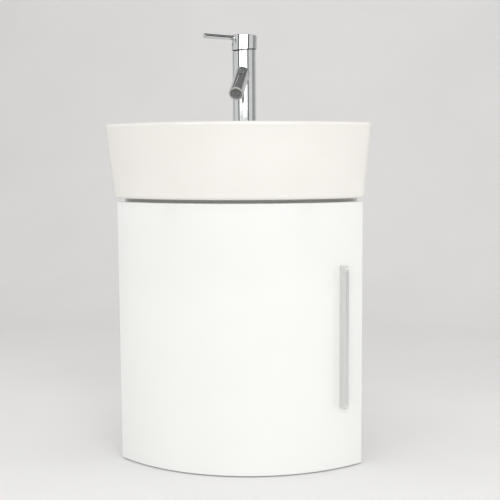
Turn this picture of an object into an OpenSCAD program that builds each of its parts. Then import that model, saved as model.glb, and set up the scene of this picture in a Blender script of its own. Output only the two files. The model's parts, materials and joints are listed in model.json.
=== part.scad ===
// Corner vanity unit: a quarter-round cabinet with one curved door, a ceramic basin and a pin-lever mixer tap.
// Millimetres, real size. +Z is up, the curved front faces -Y and the wall corner is at +Y.
// The origin is at the middle of the plan's box, on the underside of the cabinet.

/* [Cabinet] */
// Radius of the door's outer face about the wall corner
door_r = 362; // [330:1:400]
// Thickness of the curved door
door_t = 18; // [16:1:22]
// Underside of the cabinet to the top of its panels
carcass_h = 550; // [480:1:620]
// Thickness of the side, base, shelf and rail boards
panel_t = 16; // [15:1:18]
// Gap between the panels' front edges and the door's inner face
door_gap = 4.5; // [4.2:0.1:6]
// Gap under the door, inside the cabinet's own height
door_foot_gap = 2; // [1:0.5:6]
// Gap between the door's top edge and the basin
door_head_gap = 7; // [4:0.5:10]
// Gap between each end of the door and its wall line
door_end_gap = 4; // [3:0.5:6]
// Rounding along the door's outer top and bottom edges
door_edge_r = 3; // [2:0.5:5]
// Distance along each wall from the corner to the back edge of a side panel
service_gap = 90; // [70:1:120]
// Height of the underside of the shelf
shelf_z = 210; // [178:32:274]

/* [Hinges] */
// Distance of the hinge pins from the wall
pivot_t = 12.5; // [12:0.1:14]
// Depth of the hinge pins behind the door's outer face
pivot_depth = 11; // [10:0.5:12]
// Height of each hinge above the underside or below the top of the door
hinge_inset = 98; // [80:1:130]
// Radius of the hinge cup
cup_r = 17.5; // [17:0.5:18]
// Distance from the cup's edge to the end of the door
cup_edge = 3; // [3:0.5:5]
// Radius of the hinge pins
pin_r = 1.5; // [1.2:0.1:2]
// Angle by which the door is drawn open
door_open = 0; // [0:5:90]

/* [Handle] */
// Overall length of the handle with its end caps
handle_len = 288; // [160:1:320]
// Width of the handle bar
handle_w = 8.5; // [6:0.5:12]
// How far the handle stands out from the door
handle_depth = 20; // [15:0.5:30]
// Length of each end cap
handle_cap = 8; // [6:0.5:12]
// Arc distance from the free end of the door to the middle of the handle
handle_inset = 57; // [40:1:90]

/* [Basin] */
// How far the basin's rim stands out beyond the door's face
rim_over = 30; // [10:1:60]
// How far the basin's underside stands out beyond the door's face
foot_over = 10; // [0:1:20]
// Height of the basin
basin_h = 150; // [130:1:180]
// Rounding along the outer rim
rim_round = 7; // [4:0.5:10]
// Rounding along the bottom edge of the front
foot_round = 6; // [3:0.5:9]
// Plan radius of the two front corners
end_round = 20; // [10:1:24]
// Thickness of the ceramic
ceramic_t = 12; // [9:0.5:14]
// Width of the rim in front of the bowl
front_rim = 24; // [18:1:34]
// Distance from the tap's axis to the back edge of the bowl
tap_deck = 44; // [38:1:60]
// Angle from the diagonal to each end centre of the bowl
bowl_sweep = 20; // [10:1:22]
// Depth of the bowl
bowl_depth = 116; // [95:1:122]
// Radius between the bowl's walls and its floor
bowl_fillet = 55; // [35:1:60]
// Slope of the bowl's walls from upright
bowl_slope = 8; // [4:1:14]

/* [Tap] */
// Distance from the wall corner to the tap's axis
tap_mid = 140; // [120:1:150]
// Turn of the tap about its own axis, seen from above
tap_turn = 5; // [0:1:20]
// Radius of the tap's body
tap_r = 25; // [22:0.5:26]
// Height of the tap's body above the basin
tap_h = 157; // [120:1:200]
// Radius of the cap that carries the lever
cap_r = 27; // [26:0.5:29]
// Height of the cap
cap_h = 29.8; // [26:0.1:40]
// Radius of the lever pin
lever_r = 5; // [3:0.5:6]
// Distance from the tap's axis to the lever's tip
lever_reach = 90; // [70:1:110]
// Angle at which the lever is left raised
lever_rest = 2; // [0:1:14]
// Turn of the cap and its lever from the side towards the spout
lever_turn = 30; // [0:5:60]
// Slope of the joint between the body and the cap, down towards the lever
split_slope = 6; // [0:1:8]
// Radius of the spout
spout_r = 15.3; // [11:0.1:16]
// Length of the spout from the tap's axis
spout_len = 105; // [90:1:130]
// Angle by which the spout points down
spout_drop = 34.5; // [15:1:40]
// Height above the basin where the spout's axis meets the tap's axis
spout_z = 120.5; // [90:0.5:130]

/* [Waste and trap] */
// Radius of the waste's tail
tail_r = 20.9; // [20:0.1:22]
// How far the waste plug stands up when it is open
plug_lift = 8; // [5:0.5:10]
// Radius of the outlet pipe
pipe_r = 16; // [14:0.5:20]
// Height of the trap's outlet below the trap's shoulder
outlet_drop = 56; // [48:1:70]

/* [Clearances] */
// Radial clearance of a pin that turns or slides in its bore
run_fit = 0.05; // [0.02:0.01:0.08]
// Radial clearance of fixed screws, spigots and sockets
seat_fit = 0.1; // [0.05:0.01:0.2]
// Gap between a moving piece and its neighbour
free_gap = 0.3; // [0.2:0.05:0.6]

/* [Hidden] */
$fn = 96;
eps = 0.1;
far = 600;

// Plan
half_turn = 45;
corner_back_r = 12;
corner_lean = 0.2;
rim_r = door_r + rim_over;
foot_r = door_r + foot_over;
corner_y = (rim_r + corner_back_r * (sqrt(2) - 1) - corner_lean * sqrt(2)) / 2;
door_in_r = door_r - door_t;
carcass_r = door_in_r - door_gap;
door_z0 = door_foot_gap;
door_z1 = carcass_h - door_head_gap;
door_h = door_z1 - door_z0;
door_mid_z = (door_z0 + door_z1) / 2;
door_phi = asin(door_end_gap / door_r);
rail_d = (service_gap + panel_t) / sqrt(2);
rail_h_top = 70;
rail_h_low = 100;
front_rail_h = 50;
front_rail_x = carcass_r - 10.5;
base_screw_x = carcass_r - 37.5;
back_screw_x = service_gap + 40;
shelf_r = carcass_r - 12;
shelf_side_gap = 1;
shelf_pin_r = 2.5;
pin_rows = [service_gap + 50, carcass_r - 47.5];
pin_pitch = 32;
pin_count = 5;
pin_z0 = shelf_z - shelf_pin_r - 2 * pin_pitch;
pin_in = 8;
pin_out = 9;
wall_hole_r = 3.5;
wall_hole_head_r = 7;
wall_hole_x = service_gap + 125;
wall_holes_z = [60, carcass_h - 54];
screw_r = 3.5;
screw_head_r = 5;
screw_head_h = 4;
screw_len = 50;
bumper_r = 5;
bumper_z = [door_z0 + 58, door_z1 - 58];

// Hinges, in the corner frame: x along the left wall, y away from it
pivot_x = door_r - pivot_depth;
hinge_z = [door_z0 + hinge_inset, door_z1 - hinge_inset];
cup_phi = asin(door_end_gap / door_in_r) + (cup_edge + cup_r) / door_in_r * 180 / PI;
cup_face = door_in_r - 0.5;
cup_depth = 12;
cup_wall = 1;
flange_t = 1.5;
arm_t = 2;
arm_w = 12;
arm_y = panel_t + 8;
arm_x0 = pivot_x - 66;
arm_bend_x = pivot_x + arm_t / 2;
knuckle_r = 2.2;
pin_half = 10.4;
plate_x0 = pivot_x - 61;
plate_x1 = pivot_x - 27;
plate_h = 52;
plate_base = 2;
plate_screw_z = 18;
small_screw_r = 1.75;
small_head_r = 3.4;
small_head_h = 1.6;
arm_screw_x = pivot_x - 49;
cup_screw_z = 24;
cup_screw_off = 9.5;

// Handle
handle_phi = 90 - door_phi - handle_inset / door_r * 180 / PI;
handle_screw_off = 112;
handle_screw_r = 2;
handle_seat = 0.1;

// Basin
basin_z = carcass_h;
rim_z = basin_z + basin_h;
taper = (rim_r - foot_r) / basin_h;
taper_a = atan(taper);
rim_cx = rim_r - rim_round;
line_r = rim_cx + rim_round / cos(taper_a) + taper * rim_round;
foot_cx = line_r - taper * (basin_h - foot_round) - foot_round / cos(taper_a);
deck_t = 14;
foot_plate_t = 14;
hollow_r = line_r - ceramic_t / cos(taper_a);
bearing_side = panel_t + 8;
bowl_front = rim_r - front_rim;
bowl_back = tap_mid + tap_deck;
bowl_mid = (bowl_front + bowl_back) / 2;
bowl_half = (bowl_front - bowl_back) / 2;
bowl_wall = 10;
bowl_z = rim_z - bowl_depth;
bowl_cz = bowl_z + bowl_fillet;
bowl_cx = bowl_half - tan(bowl_slope) * (rim_z - bowl_cz) - bowl_fillet / cos(bowl_slope);
lip_round = 5;
sweep_overlap = 1;
tap_hole_r = 17.5;
waste_hole_r = 23;
recess_r = 33;
recess_t = 3;
boss_r = 38;
nut_flat_r = 31;
bearing_r = max(carcass_r - panel_t - 4, bowl_mid + nut_flat_r + 2);
boss_z = bowl_z - 31;
duct_d = bowl_back - 6;
duct_r = 15;
duct_bore = 8;
duct_low = bowl_z - 19;
overflow_z = rim_z - 42;
overflow_r = 9;
bracket_x = wall_hole_x;

// Tap
gasket_t = 1.5;
base_ring_r = 26.5;
base_ring_t = 4;
body_z = rim_z + gasket_t;
body_top = rim_z + tap_h;
skirt_z = body_top + 2.2;
lift_z = skirt_z - 10;
cap_in_r = tap_r + 0.6;
cap_top_t = 4.5;
boss_in_r = 9;
boss_in_z = skirt_z + 6;
stem_r = 4.5;
stem_top = lift_z + 28;
lever_z = skirt_z + cap_h - 6.5;
lever_root = 3;
index_z = lever_z - 14;
chamber_r = 19.5;
chamber_z = body_top - 27;
cart_r = 17.5;
cart_neck_r = 15;
cart_shoulder = body_top - 10;
rotor_r = 13;
rotor_z0 = lift_z - 6;
rotor_z1 = lift_z + 4;
rotor_slot = 9.6;
spout_at = rim_z + spout_z;
joint_rise = 5;
spout_bore = 9;
aerator_r = 13.2;
aerator_deep = 10;
stud_off = 9;
stud_r = 4;
inlet_off = 7;
inlet_back = 6;
inlet_r = 5;
inlet_deep = 14;
tail_wall = 1;
tail_bend = 18;
tail_run = 62;
tail_splay = 14;
tail_mark = 30;
tail_level = carcass_h - rail_h_top - 13;
under_z = rim_z - deck_t;

// Waste and trap
waste_y = corner_y - bowl_mid;
flange_r = recess_r - 0.5;
flange_top = bowl_z;
tail_z = bowl_z - 84;
tail_in_r = 17.5;
guide_z = bowl_z - 30;
stem_w_r = 4;
plug_r = 29;
plug_t = 4;
plug_z = flange_top + plug_lift + 1.5;
washer_t = 4;
nut_t = 12;
trap_r = 30;
trap_wall = 3;
trap_top = tail_z - 14;
trap_low = trap_top - 101;
cup_top = trap_low + 22;
cup_low = trap_low - 40;
dip_r = 15;
outlet_z = trap_top - outlet_drop;
outlet_end = 62;
pipe_mark = 40;

// Corner frame: x runs along the left wall, y along the right wall
module at_corner() {
  translate([0, corner_y, 0])
    rotate([0, 0, 180 + half_turn])
      children();
}

// Radial frame: x points away from the wall corner at an angle from the left wall
module at_angle(phi) {
  at_corner()
    rotate([0, 0, phi])
      children();
}

module both_sides() {
  children();
  mirror([1, 0, 0])
    children();
}

module quadrant(margin) {
  translate([margin, margin])
    square(far);
}

// ---------- cabinet ----------

module panel_holes() {
  for (x = pin_rows)
    for (i = [0:pin_count - 1])
      translate([x, panel_t - pin_in, pin_z0 + i * pin_pitch])
        rotate([-90, 0, 0])
          cylinder(r = shelf_pin_r + seat_fit, h = pin_in + eps);
  for (z = wall_holes_z) {
    translate([wall_hole_x, -eps, z])
      rotate([-90, 0, 0])
        cylinder(r = wall_hole_r, h = panel_t + 2 * eps);
    translate([wall_hole_x, panel_t - 4, z])
      rotate([-90, 0, 0])
        cylinder(r1 = wall_hole_r, r2 = wall_hole_head_r, h = 4 + eps / 10);
  }
  confirmats(seat_fit);
}

// Screws through a side panel into the base, the front rail and the back rails
module confirmats(fit) {
  for (p = [[back_screw_x, panel_t / 2], [base_screw_x, panel_t / 2], [front_rail_x, carcass_h - front_rail_h / 2]])
    translate([p[0], 0.5, p[1]])
      rotate([-90, 0, 0]) {
        cylinder(r = screw_r + fit, h = screw_len + fit);
        translate([0, 0, -0.5 * sign(fit)])
          cylinder(r = screw_head_r + fit, h = screw_head_h + 0.5 * sign(fit));
      }
}

module side_panel() {
  at_corner()
    difference() {
      translate([service_gap, 0, 0])
        cube([carcass_r - service_gap, panel_t, carcass_h]);
      panel_holes();
    }
}

module side_panel_left() {
  color("white")
    difference() {
      side_panel();
      at_corner()
        plate_screw_shafts(seat_fit);
    }
}

module side_panel_right() {
  color("white")
    mirror([1, 0, 0])
      side_panel();
}

module board(r, margin, thick) {
  linear_extrude(thick)
    intersection() {
      circle(r = r);
      quadrant(margin);
      rotate(half_turn)
        translate([rail_d, -far / 2])
          square([far, far]);
    }
}

module base_panel() {
  color("white")
    difference() {
      at_corner()
        board(carcass_r, panel_t, panel_t);
      both_sides()
        at_corner()
          confirmats(seat_fit);
    }
}

module front_top_rail() {
  color("white")
    difference() {
      at_corner()
        translate([0, 0, carcass_h - front_rail_h])
          linear_extrude(front_rail_h)
            intersection() {
              difference() {
                circle(r = carcass_r);
                circle(r = carcass_r - panel_t);
              }
              quadrant(panel_t);
            }
      both_sides()
        at_corner()
          confirmats(seat_fit);
    }
}

module back_rail(z, h) {
  translate([0, 0, z])
    linear_extrude(h)
      intersection() {
        rotate(half_turn)
          translate([rail_d, -far / 2])
            square([panel_t, far]);
        quadrant(panel_t);
      }
}

module back_rails() {
  color("white")
    at_corner() {
      back_rail(carcass_h - rail_h_top, rail_h_top);
      back_rail(panel_t, rail_h_low);
    }
}

module shelf() {
  color("white")
    at_corner()
      translate([0, 0, shelf_z])
        linear_extrude(panel_t)
          intersection() {
            circle(r = shelf_r);
            quadrant(panel_t + shelf_side_gap);
            rotate(half_turn)
              translate([rail_d + panel_t + shelf_side_gap, -far / 2])
                square([far, far]);
          }
}

module shelf_pins() {
  color("silver")
    both_sides()
      at_corner()
        for (x = pin_rows)
          translate([x, panel_t - pin_in, shelf_z - shelf_pin_r])
            rotate([-90, 0, 0]) {
              cylinder(r = shelf_pin_r, h = pin_in + pin_out);
              translate([0, 0, pin_in])
                cylinder(r = shelf_pin_r + 1.2, h = 0.8);
            }
}

module confirmat_screws() {
  color("silver")
    both_sides()
      at_corner()
        confirmats(0);
}

module door_bumpers() {
  color("gray")
    mirror([1, 0, 0])
      at_corner()
        for (z = bumper_z)
          translate([carcass_r, panel_t / 2, z])
            rotate([0, 90, 0]) {
              cylinder(r = bumper_r, h = door_gap - 2 * free_gap - 1);
              cylinder(r = bumper_r - 1, h = door_gap - 2 * free_gap);
            }
}

// ---------- hinges ----------

module plate_screw_shafts(fit) {
  for (z = hinge_z)
    for (s = [-1, 1])
      translate([(plate_x0 + plate_x1) / 2, panel_t + plate_base - 13 - fit, z + s * plate_screw_z])
        rotate([-90, 0, 0])
          cylinder(r = small_screw_r + fit, h = 13 + fit);
}

module hinge_plate_screws() {
  color("silver")
    at_corner() {
      plate_screw_shafts(0);
      for (z = hinge_z)
        for (s = [-1, 1])
          translate([(plate_x0 + plate_x1) / 2, panel_t + plate_base, z + s * plate_screw_z])
            rotate([-90, 0, 0])
              difference() {
                cylinder(r = small_head_r, h = small_head_h);
                translate([0, 0, small_head_h / 2])
                  cylinder(r = 1.6, h = small_head_h, $fn = 6);
              }
    }
}

module hinge_plates() {
  color("silver")
    at_corner()
      for (z = hinge_z)
        difference() {
          union() {
            translate([plate_x0, panel_t, z - plate_h / 2])
              cube([plate_x1 - plate_x0, plate_base, plate_h]);
            translate([plate_x0 - 3, panel_t, z - arm_w / 2])
              cube([plate_x1 - plate_x0 + 6, arm_y - panel_t, arm_w]);
          }
          for (s = [-1, 1])
            translate([(plate_x0 + plate_x1) / 2, panel_t - eps, z + s * plate_screw_z])
              rotate([-90, 0, 0])
                cylinder(r = small_screw_r + seat_fit, h = plate_base + 2 * eps);
          translate([arm_screw_x, panel_t + plate_base, z])
            rotate([-90, 0, 0])
              cylinder(r = small_screw_r + seat_fit, h = arm_y);
        }
}

// Cranked arm: it leaves the pin inside the cup before it turns back to the plate
module arm_plan() {
  difference() {
    union() {
      translate([arm_x0, arm_y])
        square([arm_bend_x - arm_x0, arm_t]);
      translate([pivot_x - arm_t / 2, pivot_t])
        square([arm_t, arm_y + arm_t - pivot_t]);
      translate([pivot_x, pivot_t])
        circle(r = knuckle_r);
    }
    translate([pivot_x, pivot_t])
      circle(r = pin_r + run_fit);
  }
}

module hinge_arms() {
  color("silver")
    at_corner()
      for (z = hinge_z)
        difference() {
          translate([0, 0, z - arm_w / 2])
            linear_extrude(arm_w)
              arm_plan();
          translate([arm_screw_x, arm_y - eps, z])
            rotate([-90, 0, 0])
              cylinder(r = small_screw_r + seat_fit, h = arm_t + 2 * eps);
        }
}

module hinge_arm_screws() {
  color("silver")
    at_corner()
      for (z = hinge_z)
        translate([arm_screw_x, arm_y - 5, z])
          rotate([-90, 0, 0]) {
            cylinder(r = small_screw_r, h = 5 + arm_t + 0.2);
            translate([0, 0, 5 + arm_t])
              cylinder(r = small_head_r, h = small_head_h);
          }
}

module cup_outline(r) {
  rotate([0, 90, 0])
    cylinder(r = r, h = cup_depth);
}

// A hinge cup in its radial frame, with its face at x = cup_face
module hinge_cup() {
  difference() {
    union() {
      translate([cup_face, 0, 0])
        cup_outline(cup_r);
      translate([cup_face - flange_t, 0, 0])
        rotate([0, 90, 0])
          cylinder(r = cup_r + 1, h = flange_t);
      translate([cup_face - flange_t, 3, -cup_screw_z - 5])
        cube([flange_t, 13, 2 * cup_screw_z + 10]);
    }
    translate([cup_face - flange_t - eps, 0, 0])
      rotate([0, 90, 0])
        cylinder(r = cup_r - cup_wall, h = cup_depth + flange_t - cup_wall + eps);
    for (s = [-1, 1])
      translate([cup_face - flange_t - eps, cup_screw_off, s * cup_screw_z])
        rotate([0, 90, 0])
          cylinder(r = small_screw_r + seat_fit, h = flange_t + 2 * eps);
  }
}

module hinge_cups() {
  color("silver")
    open_door()
      difference() {
        for (z = hinge_z)
          at_angle(cup_phi)
            translate([0, 0, z])
              hinge_cup();
        at_corner()
          for (z = hinge_z)
            translate([pivot_x, pivot_t, z - cup_r])
              cylinder(r = pin_r + seat_fit, h = 2 * cup_r);
      }
}

module hinge_pins() {
  color("silver")
    open_door()
      at_corner()
        for (z = hinge_z)
          translate([pivot_x, pivot_t, z - pin_half])
            cylinder(r = pin_r, h = 2 * pin_half);
}

module cup_screw_shafts(fit) {
  at_angle(cup_phi)
    for (z = hinge_z)
      for (s = [-1, 1])
        translate([cup_face - flange_t, cup_screw_off, z + s * cup_screw_z])
          rotate([0, 90, 0])
            cylinder(r = small_screw_r + fit, h = 13 + fit);
}

module hinge_cup_screws() {
  color("silver")
    open_door() {
      cup_screw_shafts(0);
      at_angle(cup_phi)
        for (z = hinge_z)
          for (s = [-1, 1])
            translate([cup_face - flange_t - 1, cup_screw_off, z + s * cup_screw_z])
              rotate([0, 90, 0])
                cylinder(r = small_head_r, h = 1);
    }
}

// ---------- door ----------

// The door turned about the hinge pins
module open_door() {
  at_corner()
    translate([pivot_x, pivot_t, 0])
      rotate([0, 0, -door_open])
        translate([-pivot_x, -pivot_t, 0])
          rotate([0, 0, -180 - half_turn])
            translate([0, -corner_y, 0])
              children();
}

module door_section() {
  translate([door_in_r, door_z0])
    square([door_t - door_edge_r, door_h]);
  translate([door_in_r, door_z0 + door_edge_r])
    square([door_t, door_h - 2 * door_edge_r]);
  for (z = [door_z0 + door_edge_r, door_z1 - door_edge_r])
    translate([door_r - door_edge_r, z])
      circle(r = door_edge_r);
}

// Takes the sharp corner off an upright edge at [x, 0], with the rounding's centre inside the board
module edge_cutter(x, r, way) {
  cut = r - 0.12 * r;
  difference() {
    translate([way > 0 ? x - r : x - eps, -1, door_z0 - 1])
      cube([r + eps, 1 + r, door_h + 2]);
    translate([way > 0 ? x - r : x + r, cut, door_z0 - 2])
      cylinder(r = r, h = door_h + 4);
  }
}

module door() {
  color("white")
    open_door()
      difference() {
        at_corner()
          rotate([0, 0, door_phi])
            rotate_extrude(angle = 90 - 2 * door_phi)
              door_section();
        both_sides()
          at_angle(door_phi) {
            edge_cutter(door_r, 4, 1);
            edge_cutter(door_in_r, 1.5, -1);
          }
        for (z = hinge_z)
          at_angle(cup_phi)
            translate([cup_face - 2, 0, z])
              rotate([0, 90, 0])
                cylinder(r = cup_r + seat_fit, h = cup_depth + 2 + seat_fit);
        cup_screw_shafts(seat_fit);
        handle_screw_shafts(seat_fit);
      }
}

module handle_screw_shafts(fit) {
  at_angle(handle_phi)
    for (s = [-1, 1])
      translate([door_in_r - 1, 0, door_mid_z + s * handle_screw_off])
        rotate([0, 90, 0])
          cylinder(r = handle_screw_r + fit, h = door_t + 10);
}

module handle_section(w) {
  r = 1.2;
  translate([door_r + handle_seat, -w / 2])
    square([handle_depth - r, w]);
  translate([door_r + handle_seat, -w / 2 + r])
    square([handle_depth, w - 2 * r]);
  for (s = [-1, 1])
    translate([door_r + handle_seat + handle_depth - r, s * (w / 2 - r)])
      circle(r = r);
}

module handle_bar() {
  bar = handle_len - 2 * handle_cap;
  color("gray")
    open_door()
      at_angle(handle_phi)
        difference() {
          translate([0, 0, door_mid_z - bar / 2])
            linear_extrude(bar)
              handle_section(handle_w);
          for (s = [-1, 1])
            translate([door_r, 0, door_mid_z + s * handle_screw_off])
              rotate([0, 90, 0])
                cylinder(r = handle_screw_r + seat_fit, h = 10);
          for (s = [-1, 1])
            translate([door_r + handle_seat + 1.2, s * (handle_w / 2 + 0.5), door_mid_z - bar / 2 - 1])
              cylinder(r = 0.8, h = bar + 2);
        }
}

module handle_end_caps() {
  color("dimgray")
    open_door()
      for (s = [-1, 1])
        at_angle(handle_phi)
          translate([0, 0, door_mid_z])
            scale([1, 1, s])
              translate([0, 0, handle_len / 2 - handle_cap])
                difference() {
                  linear_extrude(handle_cap)
                    handle_section(handle_w);
                  difference() {
                    translate([door_r + handle_depth - 5, -handle_w, handle_cap - 5])
                      cube([8, 2 * handle_w, 8]);
                    translate([door_r + handle_seat + handle_depth - 5.6, handle_w, handle_cap - 5.6])
                      rotate([90, 0, 0])
                        cylinder(r = 6, h = 2 * handle_w);
                  }
                }
}

module handle_screws() {
  color("silver")
    open_door()
      at_angle(handle_phi)
        for (s = [-1, 1])
          translate([door_in_r - 2.2, 0, door_mid_z + s * handle_screw_off])
            rotate([0, 90, 0]) {
              cylinder(r = 4, h = 2);
              cylinder(r = handle_screw_r, h = 2.2 + door_t + 8);
            }
}

// ---------- basin ----------

module basin_profile() {
  nx = cos(taper_a);
  nz = sin(taper_a);
  polygon([
    [0, basin_z], [foot_cx, basin_z], [foot_cx + foot_round * nx, basin_z + foot_round - foot_round * nz],
    [rim_cx + rim_round * nx, rim_z - rim_round - rim_round * nz], [rim_cx, rim_z], [0, rim_z]
  ]);
  translate([foot_cx, basin_z + foot_round])
    circle(r = foot_round);
  translate([rim_cx, rim_z - rim_round])
    circle(r = rim_round);
}

// Rounds one front corner of the plan, leaning with the tapered front
module end_cutter() {
  lean = 0.3;
  translate([line_r - end_round - 1, end_round - lean, rim_z])
    rotate([0, taper_a, 0])
      difference() {
        translate([0, -end_round - 2, -basin_h - 20])
          cube([end_round + 12, end_round + 2, basin_h + 40]);
        translate([0, 0, -basin_h - 30])
          cylinder(r = end_round, h = basin_h + 60);
      }
}

module back_cutter() {
  difference() {
    translate([-1, -1, basin_z - 1])
      cube([corner_back_r + 1, corner_back_r + 1, basin_h + 2]);
    translate([corner_back_r - corner_lean, corner_back_r - corner_lean, basin_z - 2])
      cylinder(r = corner_back_r, h = basin_h + 4);
  }
}

module basin_outside() {
  difference() {
    at_corner()
      rotate_extrude(angle = 90)
        basin_profile();
    both_sides()
      at_corner()
        end_cutter();
    at_corner()
      back_cutter();
  }
}

// Space under the basin, open to the cabinet below
module basin_hollow() {
  at_corner()
    intersection() {
      rotate_extrude()
        polygon([
          [0, basin_z + foot_plate_t], [hollow_r - taper * (basin_h - foot_plate_t), basin_z + foot_plate_t],
          [hollow_r - taper * deck_t, under_z], [0, under_z]
        ]);
      translate([ceramic_t, ceramic_t, basin_z])
        cube([far, far, basin_h]);
      rotate([0, 0, half_turn])
        translate([-far, -far / 2, 0])
          cube([far + rim_r * 2, far, far * 2]);
    }
  at_corner()
    translate([0, 0, basin_z - 1])
      linear_extrude(foot_plate_t + 2)
        intersection() {
          circle(r = bearing_r);
          quadrant(bearing_side);
          rotate(half_turn)
            translate([rail_d + panel_t + 6, -far / 2])
              square([far, far]);
        }
}

module bowl_half_section(grow) {
  nx = cos(bowl_slope);
  nz = sin(bowl_slope);
  fil = bowl_fillet + grow;
  top = bowl_half + grow / nx;
  polygon([
    [0, bowl_z - grow], [bowl_cx, bowl_z - grow], [bowl_cx + fil * nx, bowl_cz - fil * nz],
    [top, rim_z], [top, rim_z + 5], [0, rim_z + 5]
  ]);
  intersection() {
    translate([bowl_cx, bowl_cz])
      circle(r = fil);
    translate([0, bowl_z - grow - 1])
      square([2 * fil, fil * 2]);
  }
}

module bowl_lip() {
  difference() {
    translate([bowl_half - 2, rim_z - lip_round])
      square([lip_round + 1.5, lip_round + 1]);
    translate([bowl_half + lip_round - 0.6, rim_z - lip_round])
      circle(r = lip_round);
  }
}

module bowl_part(grow) {
  bowl_half_section(grow);
  if (grow == 0)
    bowl_lip();
}

// A trough swept about the wall corner with a turned end at each side
module bowl_form(grow) {
  both_sides()
    at_angle(half_turn + bowl_sweep) {
      rotate_extrude(angle = -bowl_sweep - sweep_overlap)
        translate([bowl_mid, 0]) {
          bowl_part(grow);
          mirror([1, 0])
            bowl_part(grow);
        }
      translate([bowl_mid, 0, 0])
        rotate_extrude(angle = 180)
          bowl_part(grow);
    }
}

// Overflow duct and waste boss, cast under the bowl
module duct_outside() {
  at_angle(half_turn) {
    translate([duct_d, 0, duct_low - 9])
      cylinder(r = duct_r, h = overflow_z + 14 - duct_low + 9);
    translate([duct_d, 0, duct_low])
      rotate([0, 90, 0])
        cylinder(r = 11, h = bowl_mid - duct_d);
    translate([bowl_mid, 0, boss_z])
      cylinder(r = boss_r, h = bowl_z - boss_z);
  }
}

module duct_inside() {
  at_angle(half_turn) {
    translate([duct_d, 0, duct_low])
      cylinder(r = duct_bore, h = overflow_z + 4 - duct_low);
    translate([duct_d, 0, duct_low])
      rotate([0, 90, 0])
        cylinder(r = 6, h = bowl_mid - duct_d);
    translate([duct_d, 0, overflow_z])
      rotate([0, 90, 0])
        cylinder(r = overflow_r, h = 20);
    translate([bowl_mid, 0, boss_z - 1])
      cylinder(r = waste_hole_r, h = bowl_z - boss_z + 2);
    translate([bowl_mid, 0, bowl_z - recess_t])
      cylinder(r = recess_r, h = recess_t + 1);
    translate([tap_mid, 0, under_z - 1])
      cylinder(r = tap_hole_r, h = deck_t + 2);
  }
}

module basin() {
  color("white")
    difference() {
      basin_outside();
      difference() {
        basin_hollow();
        bowl_form(bowl_wall);
        duct_outside();
        both_sides()
          at_corner()
            bracket_boss();
      }
      bowl_form(0);
      duct_inside();
      both_sides()
        at_corner()
          bracket_bolt_hole();
    }
}

// Ceramic pad above each side panel that takes the bracket's screw
module bracket_boss() {
  translate([bracket_x - 14, 0, basin_z - 1])
    cube([28, panel_t + 24, 36]);
}

module bracket_bolt_hole() {
  translate([bracket_x, panel_t + 14, basin_z - 2])
    cylinder(r = 3 + seat_fit, h = 27);
}

module basin_bracket() {
  difference() {
    union() {
      translate([bracket_x - 10, panel_t, basin_z - 42])
        cube([20, 2, 42]);
      translate([bracket_x - 10, panel_t, basin_z - 2])
        cube([20, 24, 2]);
    }
    translate([bracket_x, panel_t + 14, basin_z - 3])
      cylinder(r = 3 + seat_fit, h = 4);
    translate([bracket_x, panel_t - 1, basin_z - 26])
      rotate([-90, 0, 0])
        cylinder(r = small_screw_r + seat_fit, h = 4);
  }
}

module basin_brackets() {
  color("silver")
    both_sides()
      at_corner()
        basin_bracket();
}

module basin_bracket_screws() {
  color("silver")
    both_sides()
      at_corner() {
        translate([bracket_x, panel_t + 14, basin_z - 6])
          cylinder(r = 5, h = 4);
        translate([bracket_x, panel_t + 14, basin_z - 4])
          cylinder(r = 3, h = 26);
      }
}

module overflow_ring() {
  x0 = bowl_mid - bowl_half + tan(bowl_slope) * (rim_z - overflow_z);
  color("silver")
    at_angle(half_turn)
      translate([x0, 0, overflow_z])
        rotate([0, 90 - bowl_slope, 0])
          difference() {
            union() {
              translate([0, 0, 0.4])
                cylinder(r1 = 13, r2 = 12, h = 1.8);
              translate([0, 0, -4])
                cylinder(r = overflow_r - 1.2, h = 5);
            }
            translate([0, 0, -5])
              cylinder(r = overflow_r - 2.6, h = 8);
          }
}

// ---------- waste and trap ----------

module at_waste() {
  translate([0, waste_y, 0])
    children();
}

module waste_body() {
  color("silver")
    at_waste()
      difference() {
        union() {
          translate([0, 0, flange_top - recess_t])
            cylinder(r = flange_r, h = recess_t);
          translate([0, 0, tail_z])
            cylinder(r = tail_r, h = flange_top - tail_z - 1);
        }
        difference() {
          translate([0, 0, tail_z - 1])
            cylinder(r = tail_in_r, h = flange_top - tail_z + 2);
          translate([-tail_r + 1, -2, guide_z - 12])
            cube([2 * tail_r - 2, 4, 8]);
          translate([-2, -tail_r + 1, guide_z - 12])
            cube([4, 2 * tail_r - 2, 8]);
          translate([0, 0, guide_z - 12])
            cylinder(r = 7, h = 12);
        }
        translate([0, 0, flange_top - 3.5])
          cylinder(r1 = tail_in_r, r2 = plug_r - 3, h = 3.6);
        translate([0, 0, guide_z - 20])
          cylinder(r = stem_w_r + run_fit, h = 30);
        for (a = [0, 90])
          rotate([0, 0, a])
            translate([-tail_r - 1, 0, duct_low])
              rotate([0, 90, 0])
                cylinder(r = 5, h = 2 * tail_r + 2);
      }
}

module waste_washer() {
  color("dimgray")
    at_waste()
      translate([0, 0, boss_z - washer_t])
        difference() {
          cylinder(r = nut_flat_r, h = washer_t);
          translate([0, 0, -1])
            cylinder(r = tail_r + seat_fit, h = washer_t + 2);
        }
}

module waste_nut() {
  color("silver")
    at_waste()
      translate([0, 0, boss_z - washer_t - nut_t])
        difference() {
          cylinder(r = nut_flat_r, h = nut_t, $fn = 6);
          translate([0, 0, -1])
            cylinder(r = tail_r + seat_fit, h = nut_t + 2);
        }
}

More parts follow.
